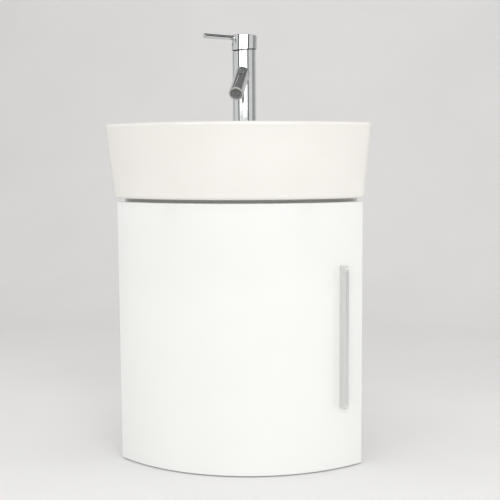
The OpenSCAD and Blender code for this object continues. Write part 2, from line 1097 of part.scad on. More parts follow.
module plug_stem_part() {
  at_waste() {
    difference() {
      union() {
        translate([0, 0, plug_z])
          cylinder(r = plug_r, h = plug_t - 1.5);
        translate([0, 0, plug_z + plug_t - 1.5])
          cylinder(r1 = plug_r, r2 = plug_r - 4, h = 1.5);
      }
      translate([0, 0, plug_z - 1])
        cylinder(r = plug_r - 3, h = 2);
    }
    translate([0, 0, plug_z - 7])
      cylinder(r = 9, h = 9);
    translate([0, 0, guide_z - 22])
      cylinder(r = stem_w_r, h = plug_z - guide_z + 22);
  }
}

module waste_plug() {
  color("silver")
    difference() {
      plug_stem_part();
      at_waste()
        translate([0, 0, plug_z - 5])
          difference() {
            cylinder(r = 10, h = 3);
            translate([0, 0, -1])
              cylinder(r = 7, h = 5);
          }
    }
}

module plug_seal() {
  color("dimgray")
    at_waste()
      translate([0, 0, plug_z - 5 + 0.1])
        difference() {
          cylinder(r = 16, h = 2.8);
          translate([0, 0, -1])
            cylinder(r = 7 + seat_fit, h = 5);
        }
}

module trap_nut() {
  color("white")
    at_waste()
      difference() {
        union() {
          translate([0, 0, tail_z - 10])
            cylinder(r = 27, h = 20);
          for (a = [0:30:330])
            rotate([0, 0, a])
              translate([26.5, 0, tail_z - 10])
                cylinder(r = 2, h = 18);
        }
        translate([0, 0, tail_z])
          cylinder(r = tail_r + seat_fit, h = 20);
        translate([0, 0, tail_z - 11])
          cylinder(r = dip_r + 3 + seat_fit, h = 20);
        translate([0, 0, tail_z - 4])
          cylinder(r = tail_r + seat_fit, h = 6);
      }
}

module trap_seal() {
  color("dimgray")
    at_waste()
      translate([0, 0, tail_z - 3])
        difference() {
          cylinder(r = tail_r - 0.4, h = 3);
          translate([0, 0, -1])
            cylinder(r = dip_r, h = 5);
        }
}

module trap_body() {
  color("white")
    at_waste()
      difference() {
        union() {
          translate([0, 0, trap_low])
            cylinder(r = trap_r, h = trap_top - trap_low - 6);
          translate([0, 0, trap_top - 6])
            cylinder(r1 = trap_r, r2 = dip_r + 5, h = 6);
          translate([0, 0, trap_top - 1])
            cylinder(r = dip_r + 3, h = tail_z - 3 - trap_top + 1);
          translate([0, 0, outlet_z])
            rotate([-90, 0, 0])
              cylinder(r = pipe_r + 3, h = trap_r + 24);
        }
        difference() {
          translate([0, 0, trap_low - 1])
            cylinder(r = trap_r - trap_wall, h = trap_top - trap_low - 5);
          translate([0, 0, trap_low - 2])
            cylinder(r = dip_r + 2, h = trap_top - trap_low);
        }
        translate([0, 0, trap_low - 2])
          cylinder(r = dip_r, h = tail_z - trap_low + 4);
        translate([0, dip_r + 4, outlet_z])
          rotate([-90, 0, 0])
            cylinder(r = pipe_r - 2, h = 20);
        translate([0, trap_r + 4, outlet_z])
          rotate([-90, 0, 0])
            cylinder(r = pipe_r + seat_fit, h = 40);
      }
}

module trap_cup() {
  color("white")
    at_waste()
      difference() {
        union() {
          translate([0, 0, cup_low + 6])
            cylinder(r = trap_r + trap_wall + 0.3, h = cup_top - cup_low - 6);
          translate([0, 0, cup_low])
            cylinder(r1 = trap_r - 8, r2 = trap_r + trap_wall + 0.3, h = 6);
          for (a = [0:30:330])
            rotate([0, 0, a])
              translate([trap_r + trap_wall, 0, cup_top - 24])
                cylinder(r = 2, h = 22);
        }
        translate([0, 0, cup_low + 9])
          cylinder(r = trap_r - trap_wall, h = cup_top - cup_low);
        translate([0, 0, trap_low - 0.2])
          cylinder(r = trap_r + seat_fit, h = cup_top - trap_low + 1);
      }
}

module outlet_nut() {
  y0 = trap_r + 14;
  color("white")
    at_waste()
      translate([0, y0, outlet_z])
        rotate([-90, 0, 0])
          difference() {
            union() {
              cylinder(r = pipe_r + 7, h = 16);
              for (a = [0:30:330])
                rotate([0, 0, a])
                  translate([pipe_r + 6.5, 0, 0])
                    cylinder(r = 2, h = 14);
            }
            translate([0, 0, -1])
              cylinder(r = pipe_r + 3 + seat_fit, h = trap_r + 24 - y0 + 1.2);
            translate([0, 0, -1])
              cylinder(r = pipe_r + seat_fit, h = 20);
          }
}

module outlet_pipe() {
  y0 = trap_r + 8;
  color("white")
    at_waste()
      translate([0, y0, outlet_z])
        rotate([-90, 0, 0])
          difference() {
            cylinder(r = pipe_r, h = bowl_mid - y0 - outlet_end);
            translate([0, 0, -1])
              cylinder(r = pipe_r - 2, h = bowl_mid);
            translate([0, 0, bowl_mid - y0 - outlet_end - pipe_mark - 1])
              difference() {
                cylinder(r = pipe_r + 1, h = 1);
                translate([0, 0, -1])
                  cylinder(r = pipe_r - 0.4, h = 3);
              }
          }
}

// ---------- tap ----------

// Tap frame: z along the tap's axis, y away from the spout, x away from the lever
module at_tap() {
  translate([0, corner_y - tap_mid, 0])
    rotate([0, 0, -tap_turn])
      children();
}

// Frame of the cartridge: x points away from the lever
module at_mixer() {
  at_tap()
    rotate([0, 0, lever_turn])
      children();
}

// Space above the sloping joint, from a height on the tap's axis
module above_joint(z) {
  translate([0, 0, z])
    rotate([0, -split_slope, 0])
      translate([-far / 2, -far / 2, 0])
        cube([far, far, far]);
}

// Frame of the cap, tipped about the cartridge's cross pin
module lifted() {
  at_mixer()
    translate([0, 0, lift_z])
      rotate([0, lever_rest, 0])
        translate([0, 0, -lift_z])
          children();
}

module along_spout(d) {
  translate([0, 0, spout_at])
    rotate([90 + spout_drop, 0, 0])
      translate([0, 0, d])
        children();
}

// One bent tail in a frame whose y runs towards the wall corner
module tail_form(r) {
  translate([0, 0, tail_level + tail_bend])
    cylinder(r = r, h = body_z - tail_level - tail_bend);
  translate([0, tail_bend, tail_level + tail_bend])
    rotate([0, 90, 0])
      rotate([0, 0, -90])
        rotate_extrude(angle = 90)
          translate([tail_bend, 0])
            circle(r = r);
  translate([0, tail_bend, tail_level])
    rotate([-90, 0, 0])
      cylinder(r = r, h = tail_run);
}

// Copper tails from the tap's inlets to the open corner behind the cabinet
module supply_tails() {
  color("peru")
    at_tap()
      for (s = [-1, 1])
        translate([s * inlet_off, inlet_back, 0])
          rotate([0, 0, tap_turn - s * tail_splay])
            difference() {
              union() {
                tail_form(inlet_r);
                translate([0, 0, body_z - 1])
                  cylinder(r = inlet_r - seat_fit, h = inlet_deep);
              }
              tail_form(inlet_r - tail_wall);
              translate([0, 0, body_z - 1])
                cylinder(r = inlet_r - tail_wall, h = inlet_deep + 1);
              translate([0, tail_bend + tail_run - 1, tail_level])
                rotate([-90, 0, 0])
                  cylinder(r = inlet_r - tail_wall, h = 2);
              translate([0, tail_bend + tail_run - tail_mark - 1, tail_level])
                rotate([-90, 0, 0])
                  difference() {
                    cylinder(r = inlet_r + 1, h = 1);
                    translate([0, 0, -1])
                      cylinder(r = inlet_r - 0.2, h = 3);
                  }
            }
}

module tap_gasket() {
  color("dimgray")
    at_tap()
      translate([0, 0, rim_z])
        difference() {
          cylinder(r = tap_r, h = gasket_t);
          translate([0, 0, -1])
            cylinder(r = tap_hole_r, h = gasket_t + 2);
        }
}

module tap_base_ring() {
  color("silver")
    at_tap()
      translate([0, 0, rim_z])
        difference() {
          union() {
            cylinder(r = base_ring_r, h = base_ring_t - 1);
            translate([0, 0, base_ring_t - 1])
              cylinder(r1 = base_ring_r, r2 = base_ring_r - 1, h = 1);
          }
          translate([0, 0, -1])
            cylinder(r = tap_r + seat_fit, h = base_ring_t + 2);
        }
}

module tap_body() {
  color("silver")
    at_tap()
      difference() {
        union() {
          difference() {
            translate([0, 0, body_z])
              cylinder(r = tap_r, h = body_top - body_z + joint_rise);
            rotate([0, 0, lever_turn])
              above_joint(body_top);
          }
          along_spout(0)
            cylinder(r = spout_r, h = spout_len - 0.5);
          along_spout(spout_len - 0.5)
            cylinder(r1 = spout_r, r2 = spout_r - 0.5, h = 0.5);
        }
        translate([0, 0, chamber_z])
          cylinder(r = chamber_r, h = body_top - chamber_z + joint_rise);
        translate([0, 0, spout_at - 4])
          cylinder(r = 6, h = chamber_z - spout_at + 5);
        along_spout(0)
          cylinder(r = spout_bore, h = spout_len + 1);
        along_spout(spout_len - aerator_deep)
          cylinder(r = aerator_r + seat_fit, h = aerator_deep + 1);
        along_spout(spout_len - 4)
          difference() {
            cylinder(r = spout_r + 1, h = 0.7);
            translate([0, 0, -1])
              cylinder(r = spout_r - 0.5, h = 3);
          }
        for (s = [-1, 1])
          translate([s * inlet_off, inlet_back, body_z - 1])
            cylinder(r = inlet_r, h = inlet_deep + 1);
        translate([0, -stud_off, body_z - 1])
          cylinder(r = stud_r + seat_fit, h = 13);
      }
}

module aerator_housing() {
  color("silver")
    at_tap()
      along_spout(spout_len - aerator_deep)
        difference() {
          cylinder(r = aerator_r, h = aerator_deep - 0.8);
          translate([0, 0, -1])
            cylinder(r = aerator_r - 1.4, h = aerator_deep + 2);
        }
}

module aerator_insert() {
  color("dimgray")
    at_tap()
      along_spout(spout_len - aerator_deep)
        difference() {
          cylinder(r = aerator_r - 1.4 - seat_fit, h = aerator_deep - 4);
          for (ring = [[3.2, 6], [6.6, 12]])
            for (i = [0:ring[1] - 1])
              rotate([0, 0, i * 360 / ring[1]])
                translate([ring[0], 0, -1])
                  cylinder(r = 1, h = aerator_deep);
        }
}

module cartridge() {
  color("white")
    at_tap()
      difference() {
        union() {
          translate([0, 0, chamber_z])
            cylinder(r = cart_r, h = cart_shoulder - chamber_z);
          translate([0, 0, cart_shoulder - 1])
            cylinder(r = cart_neck_r, h = body_top - cart_shoulder);
        }
        translate([0, 0, rotor_z0 - free_gap])
          cylinder(r = rotor_r + run_fit, h = 40);
        for (s = [-1, 1])
          translate([s * 8, 5, chamber_z - 1])
            cylinder(r = 3, h = 12);
        translate([0, 0, chamber_z - 1])
          cylinder(r = 5, h = 12);
      }
}

module cartridge_nut() {
  color("gold")
    at_tap()
      difference() {
        translate([0, 0, cart_shoulder])
          cylinder(r = chamber_r - seat_fit, h = body_top - cart_shoulder);
        translate([0, 0, cart_shoulder - 1])
          cylinder(r = cart_neck_r + seat_fit, h = 20);
        for (a = [0:60:300])
          rotate([0, 0, a])
            translate([chamber_r - 3, -2, body_top - 3])
              cube([5, 4, 5]);
      }
}

module cartridge_rotor() {
  color("gray")
    at_mixer()
      difference() {
        translate([0, 0, rotor_z0])
          cylinder(r = rotor_r, h = rotor_z1 - rotor_z0);
        translate([-rotor_r + 2, -rotor_slot / 2, rotor_z0 - 1])
          cube([2 * rotor_r - 4, rotor_slot, rotor_z1 - rotor_z0 + 2]);
        translate([0, rotor_r + 1, lift_z])
          rotate([90, 0, 0])
            cylinder(r = pin_r + seat_fit, h = 2 * rotor_r + 2);
      }
}

module stem_pin() {
  color("silver")
    at_mixer()
      translate([0, rotor_r - 0.5, lift_z])
        rotate([90, 0, 0])
          cylinder(r = pin_r, h = 2 * rotor_r - 1);
}

module cartridge_stem() {
  color("silver")
    lifted()
      difference() {
        translate([0, 0, lift_z - 4])
          cylinder(r = stem_r, h = stem_top - lift_z + 4);
        translate([0, stem_r + 1, lift_z])
          rotate([90, 0, 0])
            cylinder(r = pin_r + run_fit, h = 2 * stem_r + 2);
      }
}

module tap_cap() {
  top = skirt_z + cap_h;
  color("silver")
    lifted()
      difference() {
        union() {
          intersection() {
            translate([0, 0, skirt_z - joint_rise])
              cylinder(r = cap_r, h = cap_h - 1.2 + joint_rise);
            above_joint(skirt_z);
          }
          translate([0, 0, top - 1.2])
            cylinder(r1 = cap_r, r2 = cap_r - 1.2, h = 1.2);
        }
        difference() {
          translate([0, 0, skirt_z - joint_rise])
            cylinder(r = cap_in_r, h = cap_h - cap_top_t + joint_rise);
          translate([0, 0, boss_in_z])
            cylinder(r = boss_in_r, h = cap_h);
        }
        translate([0, 0, skirt_z - 1])
          cylinder(r = stem_r + seat_fit, h = stem_top - skirt_z + 1.3);
        translate([-cap_r - 1, 0, lever_z])
          rotate([0, 90, 0])
            cylinder(r = lever_root + seat_fit, h = cap_r - cap_in_r + 4);
        translate([-cap_r - 1, 0, index_z])
          rotate([0, 90, 0])
            cylinder(r = 3 + seat_fit, h = cap_r - cap_in_r + 4);
        translate([-cap_r, 0, index_z])
          rotate([0, 90, 0])
            cylinder(r = 2.5 + seat_fit, h = cap_r);
      }
}

module tap_lever() {
  color("silver")
    lifted()
      translate([-cap_in_r, 0, lever_z])
        rotate([0, -90, 0]) {
          cylinder(r = lever_root, h = cap_r - cap_in_r + 2);
          translate([0, 0, cap_r - cap_in_r + 0.1])
            cylinder(r = lever_r, h = lever_reach - cap_r - 1);
          translate([0, 0, lever_reach - cap_in_r - 1])
            cylinder(r1 = lever_r, r2 = lever_r - 1, h = 1);
        }
}

module grub_screw() {
  color("dimgray")
    lifted()
      translate([-stem_r, 0, index_z])
        rotate([0, -90, 0])
          difference() {
            cylinder(r = 2.5, h = 7);
            translate([0, 0, 4])
              cylinder(r = 1.4, h = 4, $fn = 6);
          }
}

module index_plug() {
  color("gray")
    lifted()
      translate([-cap_in_r + 0.5, 0, index_z])
        rotate([0, -90, 0]) {
          cylinder(r = 3, h = cap_r - cap_in_r);
          translate([0, 0, cap_r - cap_in_r - 0.5])
            cylinder(r1 = 3, r2 = 2.4, h = 0.8);
        }
}

module tap_stud() {
  color("gold")
    at_tap()
      translate([0, -stud_off, rim_z - 52])
        cylinder(r = stud_r, h = 52 + gasket_t + 10);
}

module clamp_plan(r) {
  difference() {
    circle(r = r);
    translate([0, 6])
      circle(r = 12.5);
    translate([-12.5, 6])
      square([25, 40]);
    translate([0, -stud_off])
      circle(r = stud_r + seat_fit);
  }
}

module tap_under_seal() {
  color("dimgray")
    at_tap()
      translate([0, 0, under_z - 3])
        linear_extrude(3)
          clamp_plan(22);
}

module tap_washer() {
  color("silver")
    at_tap()
      translate([0, 0, under_z - 5.5])
        linear_extrude(2.5)
          clamp_plan(21);
}

module tap_stud_nut() {
  color("gold")
    at_tap()
      translate([0, -stud_off, under_z - 5.5 - 12])
        difference() {
          cylinder(r = 7.2, h = 12, $fn = 6);
          translate([0, 0, -1])
            cylinder(r = stud_r + seat_fit, h = 20);
        }
}

side_panel_left();
side_panel_right();
base_panel();
front_top_rail();
back_rails();
shelf();
shelf_pins();
confirmat_screws();
hinge_plates();
hinge_arms();
hinge_arm_screws();
hinge_plate_screws();
door_bumpers();
basin();
basin_brackets();
basin_bracket_screws();
overflow_ring();
waste_body();
waste_washer();
waste_nut();
trap_nut();
trap_seal();
trap_body();
trap_cup();
outlet_nut();
outlet_pipe();
supply_tails();
tap_gasket();
tap_base_ring();
tap_body();
aerator_housing();
aerator_insert();
cartridge();
cartridge_nut();
tap_stud();
tap_under_seal();
tap_washer();
tap_stud_nut();
cartridge_rotor();
stem_pin();
cartridge_stem();
tap_cap();
tap_lever();
grub_screw();
index_plug();
waste_plug();
plug_seal();
door();
handle_bar();
handle_end_caps();
handle_screws();
hinge_cups();
hinge_pins();
hinge_cup_screws();
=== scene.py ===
"""Looks of the corner vanity unit: curved gloss door, ceramic basin, bar handle and pin-lever mixer tap."""

import json
import math

import bmesh
import bpy
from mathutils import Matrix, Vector


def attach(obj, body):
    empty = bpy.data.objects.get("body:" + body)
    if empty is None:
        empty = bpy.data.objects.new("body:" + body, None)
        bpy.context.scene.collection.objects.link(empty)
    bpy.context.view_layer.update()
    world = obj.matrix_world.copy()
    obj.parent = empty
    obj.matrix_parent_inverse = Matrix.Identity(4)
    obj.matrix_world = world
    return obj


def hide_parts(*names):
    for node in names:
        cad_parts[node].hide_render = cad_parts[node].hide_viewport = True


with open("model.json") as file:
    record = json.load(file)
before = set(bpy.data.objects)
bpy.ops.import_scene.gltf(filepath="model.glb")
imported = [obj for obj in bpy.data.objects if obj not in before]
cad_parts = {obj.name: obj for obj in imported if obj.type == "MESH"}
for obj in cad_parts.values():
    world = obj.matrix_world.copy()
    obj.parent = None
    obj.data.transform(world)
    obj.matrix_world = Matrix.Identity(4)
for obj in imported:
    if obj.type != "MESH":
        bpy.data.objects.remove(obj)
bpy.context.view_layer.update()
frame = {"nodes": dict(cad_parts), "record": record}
nodes = frame["nodes"]

# Sizes are in metres and as the construction gives them.

# Wall corner: the upright line that door, basin and tap are measured from
CORNER_Y = 0.198344
CORNER = (0, CORNER_Y, 0)
LEFT_WALL = math.radians(225)
MIDDLE_DEGREES = 45
HALF_ROOT = math.sqrt(0.5)

# Door, with its plan's corners and the soft edge at its head and foot
DOOR_R = 0.362
DOOR_IN_R = 0.344
DOOR_END = 0.004
DOOR_FOOT = 0.002
DOOR_HEAD = 0.543
DOOR_MID = (DOOR_FOOT + DOOR_HEAD) / 2
DOOR_OUT_BEND = 0.004
DOOR_IN_BEND = 0.0015
DOOR_SOFT = 0.0028

# Hinge cups, sunk into the door's inner face
CUP_INSET = 0.0205
CUP_ANGLE = math.degrees(math.asin(DOOR_END / DOOR_IN_R) + CUP_INSET / DOOR_IN_R)
CUP_RISE = 0.098
CUP_Z = (DOOR_FOOT + CUP_RISE, DOOR_HEAD - CUP_RISE)
CUP_R = 0.0176
CUP_DEEP = 0.0117
CUP_SCREW_R = 0.0018
CUP_SCREW_DEEP = 0.0113
CUP_SCREW_UP = 0.024
CUP_SCREW_ALONG = 0.0095

# Bar handle, on edge off the door's outer face
HANDLE_INSET = 0.057
HANDLE_ANGLE = 90 - math.degrees(math.asin(DOOR_END / DOOR_R) + HANDLE_INSET / DOOR_R)
HANDLE_HALF = 0.144
HANDLE_DEEP = 0.020
HANDLE_WIDE = 0.0085
HANDLE_GAP = 0.0001
END_CAP_LONG = 0.008
END_CAP_BEND = 0.0045
HANDLE_SCREW_UP = 0.112
HANDLE_SCREW_R = 0.0021
HANDLE_SCREW_DEEP = 0.010

# Basin: a quarter-round block that widens from foot to rim
RIM_R = 0.392
FOOT_R = 0.372
BASIN_Z = 0.550
RIM_Z = 0.700
BASIN_BEND = 0.019
BASIN_BACK_BEND = 0.0115
RIM_SOFT = 0.0066
FOOT_SOFT = 0.0058

# Bowl: a band about the wall corner with round ends
BOWL_R = 0.276
BOWL_HALF = 0.092
BOWL_Z = 0.584
BOWL_SWEEP = 20
FLOOR_BEND = 0.055
WALL_LEAN = math.radians(8)
LIP_BEND = 0.005
LIP_REACH = 0.94
BOWL_WALL = 0.010

# Hollow under the basin, with the pads for its bracket screws and the opening below
HOLLOW_FOOT_R = 0.3615
HOLLOW_RIM_R = 0.3775
HOLLOW_SIDE = 0.012
HOLLOW_BEND = 0.006
HOLLOW_BACK_BEND = 0.003
DECK = 0.014
PAD_SIZE = (0.028, 0.080, 0.036)
PAD_OUT = 0.215
PAD_UP = 0.017
OPENING_R = 0.3195
OPENING_SIDE = 0.024
OPENING_BEND = 0.003
OPENING_BACK = 0.1132
OPENING_UP = 0.0145

# Overflow: a hole in the bowl's back wall and a duct from there down to the waste
OVERFLOW_Z = 0.658
OVERFLOW_HOLE_R = 0.009
OVERFLOW_IN = 0.198
DUCT_R = 0.178
DUCT_BORE_R = 0.008
DUCT_TOP = 0.662
DUCT_LOW = 0.565
DUCT_LOW_BORE_R = 0.006
DUCT_SHELL_R = 0.015
DUCT_LOW_SHELL_R = 0.011

# Waste: boss, seat and hole in the bowl's floor
BOSS_R = 0.038
BOSS_LOW = 0.553
BOSS_TOP = 0.592
SEAT_R = 0.033
SEAT_DEEP = 0.003
WASTE_HOLE_R = 0.023

# Tap body and spout
TAP_BACK = 0.140
TAP_Y = CORNER_Y - TAP_BACK
TAP_TURN = math.radians(-5)
TAP_HOLE_R = 0.0175
BODY_R = 0.025
BODY_Z = 0.7015
BODY_TOP = 0.857
CHAMBER_R = 0.0195
CHAMBER_Z = 0.830
SPOUT_R = 0.0153
SPOUT_Z = 0.8205
SPOUT_LONG = 0.105
SPOUT_DROP = math.radians(34.5)
WATERWAY_R = 0.009
AERATOR_R = 0.0133
AERATOR_DEEP = 0.010
GROOVE_R = 0.0149
GROOVE_FROM = 0.1008
GROOVE_TO = 0.1014
FOOT_RING_R = 0.0265
FOOT_RING_IN_R = 0.0251
FOOT_RING_HIGH = 0.004

# Tap cap and lever, which turn and tilt about a point inside the body
JOINT_SLOPE = math.radians(6)
LEVER_TURN = math.radians(25)
LEVER_REST = math.radians(2)
LIFT_Z = 0.8492
CAP_R = 0.027
CAP_IN_R = 0.0256
CAP_ROOF = 0.0045
SKIRT_Z = 0.8592
CAP_TOP = 0.889
INDEX_Z = 0.8685
INDEX_R = 0.0031
LEVER_Z = 0.8825
LEVER_R = 0.005
LEVER_FROM = 0.0271
LEVER_TO = 0.090
LEVER_ROOT_R = 0.003

# Plug and bottle trap, on the upright line of the waste
PLUG_Z = 0.5935
PLUG_STEM_R = 0.0040
PLUG_STEM_LOW = 0.5320
TAIL_Z = 0.500
TRAP_TOP = 0.4970
TRAP_SHOULDER = 0.4860
TRAP_LOW = 0.385
TRAP_R = 0.0300
TRAP_IN_R = 0.0270
NECK_R = 0.0180
DIP_R = 0.0170
DIP_IN_R = 0.0150
CUP_LOW = 0.345
CUP_TOP = 0.407
CUP_OUT_R = 0.0333
OUTLET_Z = 0.430
OUTLET_BOSS_R = 0.019
OUTLET_BOSS_FROM = 0.028
OUTLET_BOSS_LONG = 0.026
OUTLET_BORE_R = 0.014
OUTLET_BORE_FROM = 0.022
OUTLET_SOCKET_R = 0.0161
OUTLET_SOCKET_FROM = 0.034
OUTLET_NUT_FROM = 0.044
RIB_R = 0.002
RIB_STEP = 30

# Radii of the small soft edges
BAR_FRONT_SOFT = 0.0012
BAR_BACK_SOFT = 0.0008
SAWN_SOFT = 0.0003
SPOUT_SOFT = 0.0006
FOOT_RING_SOFT = 0.0009
CAP_SOFT = 0.0011
LEVER_TIP_SOFT = 0.0009
LEVER_FOOT_SOFT = 0.0004
OUTLET_SOFT = 0.0006
RIB_SOFT = 0.0012

# Steps along the arcs of the plans
DOOR_ARC_STEPS = 160
DOOR_OUT_STEPS = 8
DOOR_IN_STEPS = 4
QUARTER_ARC_STEPS = 150
QUARTER_BEND_STEPS = 14
QUARTER_BACK_STEPS = 12
BOWL_ARC_STEPS = 60
BOWL_END_STEPS = 56
LIP_STEPS = 7
FLOOR_STEPS = 16

# Sides of round pieces and holes: the larger and the more in sight, the more
SCREW_SIDES = 24
PIN_SIDES = 48
CUP_SIDES = 64
PIPE_SIDES = 96
BORE_SIDES = 128
RING_SIDES = 192
BODY_SIDES = 224

# How far a tool stands past the face that it cuts
PAST = 0.004

# Points closer than this are one point, and the same for the looser ends of an outline
MERGE = 0.000002
MERGE_ENDS = 0.00002

# How far a point may be from a height or a face that it counts to
NEAR = 0.00001
NEAR_FACE = 0.0001


# ---------- hands: picking, shaping and joining ----------


def hold(piece):
    """Makes one piece the only one selected, and the active one."""
    bpy.ops.object.select_all(action="DESELECT")
    piece.select_set(True)
    bpy.context.view_layer.objects.active = piece


def open_mesh(piece, kind="FACE"):
    """Goes into edit mode on a piece with nothing selected."""
    hold(piece)
    bpy.ops.object.mode_set(mode="EDIT")
    bpy.ops.mesh.select_mode(type=kind)
    bpy.ops.mesh.select_all(action="DESELECT")


def close_mesh():
    """Goes back to object mode."""
    bpy.ops.object.mode_set(mode="OBJECT")


def pick_edges(test):
    """Selects the edges whose two ends pass a test of their places."""
    mesh = bpy.context.object.data
    form = bmesh.from_edit_mesh(mesh)
    for edge in form.edges:
        if test(edge.verts[0].co, edge.verts[1].co):
            edge.select = True
    form.select_flush_mode()
    bmesh.update_edit_mesh(mesh)


def pick_points(test):
    """Selects the points whose places pass a test."""
    mesh = bpy.context.object.data
    form = bmesh.from_edit_mesh(mesh)
    for vert in form.verts:
        if test(vert.co):
            vert.select = True
    form.select_flush_mode()
    bmesh.update_edit_mesh(mesh)


def at_level(height):
    """A test for edges that lie at one height."""
    return lambda a, b: abs(a.z - height) < NEAR and abs(b.z - height) < NEAR


def round_edges(piece, test, radius, segments):
    """Rounds the edges that pass a test."""
    open_mesh(piece, "EDGE")
    pick_edges(test)
    bpy.ops.mesh.bevel(offset=radius, segments=segments, affect="EDGES", clamp_overlap=False)
    close_mesh()


def tidy(piece):
    """Merges doubled points, closes open ends and turns all faces outwards."""
    open_mesh(piece, "VERT")
    bpy.ops.mesh.select_all(action="SELECT")
    bpy.ops.mesh.remove_doubles(threshold=MERGE)
    bpy.ops.mesh.select_all(action="SELECT")
    bpy.ops.mesh.fill_holes(sides=0)
    bpy.ops.mesh.select_all(action="SELECT")
    bpy.ops.mesh.normals_make_consistent(inside=False)
    close_mesh()


def settle(piece):
    """Puts the object's place into its mesh, so the object sits at the origin."""
    hold(piece)
    bpy.ops.object.transform_apply(location=True, rotation=True, scale=True)


def move_to(piece, place, turn=(0, 0, 0)):
    """Turns a piece about the origin, then moves it, and keeps both in its mesh."""
    piece.rotation_euler = turn
    piece.location = place
    settle(piece)


def join_by(piece, tool, how):
    """Joins a tool to a piece or takes it away, and uses the tool up."""
    hold(piece)
    change = piece.modifiers.new("change", "BOOLEAN")
    change.operation = how
    change.solver = "EXACT"
    change.object = tool
    bpy.ops.object.modifier_apply(modifier=change.name)
    bpy.data.objects.remove(tool, do_unlink=True)


def cut(piece, tool):
    """Takes the tool's form out of a piece."""
    join_by(piece, tool, "DIFFERENCE")


def smooth(piece, degrees=32):
    """Smooth shading up to an angle, with flat faces kept flat beside their rounded edges."""
    hold(piece)
    bpy.ops.object.shade_smooth_by_angle(angle=math.radians(degrees), keep_sharp_edges=True)
    weigh = piece.modifiers.new("weigh", "WEIGHTED_NORMAL")
    weigh.keep_sharp = True
    weigh.weight = 60
    bpy.ops.object.modifier_apply(modifier=weigh.name)


def rod(radius, start, end, sides):
    """A round bar between two heights on the z axis."""
    bpy.ops.mesh.primitive_cylinder_add(
        vertices=sides, radius=radius, depth=end - start, location=(0, 0, (start + end) / 2)
    )
    piece = bpy.context.object
    settle(piece)
    return piece


def block(size, place):
    """A square block."""
    bpy.ops.mesh.primitive_cube_add(size=1)
    piece = bpy.context.object
    piece.scale = size
    piece.location = place
    settle(piece)
    return piece


def finish_piece(piece, name, body, slot, node):
    """Names a piece, gives it its finish, puts it on the body that it rides and hides the node that it stands
    for.
    """
    piece.name = name
    piece.data.name = name
    piece.data.materials.clear()
    piece.data.materials.append(FINISH[slot])
    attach(piece, body)
    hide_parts(node)


# ---------- finishes ----------

# The part of a noise pattern's range that a finish uses
PATTERN_LOW = 0.3
PATTERN_HIGH = 0.7

# Darkest and lightest colour of each finish's pattern
DOOR_WHITE = (0.80, 0.805, 0.79), (0.83, 0.835, 0.82)
GLAZE_WHITE = (0.755, 0.738, 0.70), (0.785, 0.768, 0.73)
BOARD_WHITE = (0.74, 0.74, 0.72), (0.78, 0.78, 0.76)
PLASTIC_WHITE = (0.72, 0.73, 0.73), (0.78, 0.79, 0.79)
PLASTIC_GREY = (0.16, 0.165, 0.17), (0.24, 0.245, 0.25)
PLASTIC_SILVER = (0.58, 0.58, 0.56), (0.76, 0.76, 0.74)
RUBBER_BLACK = (0.035, 0.035, 0.035), (0.06, 0.06, 0.06)
CHROME_GREY = (0.70, 0.71, 0.72), (0.76, 0.77, 0.78)
ALUMINIUM_GREY = (0.72, 0.72, 0.71), (0.80, 0.80, 0.79)
ZINC_GREY = (0.50, 0.51, 0.53), (0.62, 0.63, 0.64)
BRASS_BROWN = (0.30, 0.24, 0.14), (0.42, 0.34, 0.20)
COPPER_RED = (0.50, 0.24, 0.16), (0.66, 0.36, 0.26)
FLOOR_GREY = (0.80, 0.80, 0.80), (0.83, 0.83, 0.83)


def blank(name):
    """A new material, with its nodes, its links and its main shader."""
    material = bpy.data.materials.new(name)
    material.use_nodes = True
    tree = material.node_tree
    return material, tree.nodes, tree.links, tree.nodes["Principled BSDF"]


def place_of(shader, links, scale=(1, 1, 1)):
    """Object coordinates, stretched by a scale along each axis."""
    place = shader.new("ShaderNodeTexCoord")
    stretch = shader.new("ShaderNodeMapping")
    stretch.inputs["Scale"].default_value = scale
    links.new(place.outputs["Object"], stretch.inputs["Vector"])
    return stretch.outputs["Vector"]


def grain(shader, links, vector, scale, detail=3):
    """A noise pattern."""
    noise = shader.new("ShaderNodeTexNoise")
    noise.inputs["Scale"].default_value = scale
    noise.inputs["Detail"].default_value = detail
    noise.inputs["Roughness"].default_value = 0.55
    links.new(vector, noise.inputs["Vector"])
    return noise.outputs["Fac"]


def paint(shader, links, principled, pattern, colours):
    """Blends the surface between two colours by a pattern."""
    dark, light = colours
    ramp = shader.new("ShaderNodeValToRGB")
    ramp.color_ramp.elements[0].position = PATTERN_LOW
    ramp.color_ramp.elements[0].color = (*dark, 1)
    ramp.color_ramp.elements[1].position = PATTERN_HIGH
    ramp.color_ramp.elements[1].color = (*light, 1)
    links.new(pattern, ramp.inputs["Fac"])
    links.new(ramp.outputs["Color"], principled.inputs["Base Color"])


def dull(shader, links, principled, pattern, low, high):
    """Lets a pattern vary the roughness between two values."""
    span = shader.new("ShaderNodeMapRange")
    span.inputs["From Min"].default_value = PATTERN_LOW
    span.inputs["From Max"].default_value = PATTERN_HIGH
    span.inputs["To Min"].default_value = low
    span.inputs["To Max"].default_value = high
    links.new(pattern, span.inputs["Value"])
    links.new(span.outputs["Result"], principled.inputs["Roughness"])


def relief(shader, links, principled, pattern, strength, distance):
    """Raises the surface by a pattern."""
    bump = shader.new("ShaderNodeBump")
    bump.inputs["Strength"].default_value = strength
    bump.inputs["Distance"].default_value = distance
    links.new(pattern, bump.inputs["Height"])
    links.new(bump.outputs["Normal"], principled.inputs["Normal"])


def clear_coat(principled, weight, rough):
    """Lays a clear coat over the surface."""
    principled.inputs["Coat Weight"].default_value = weight
    principled.inputs["Coat Roughness"].default_value = rough


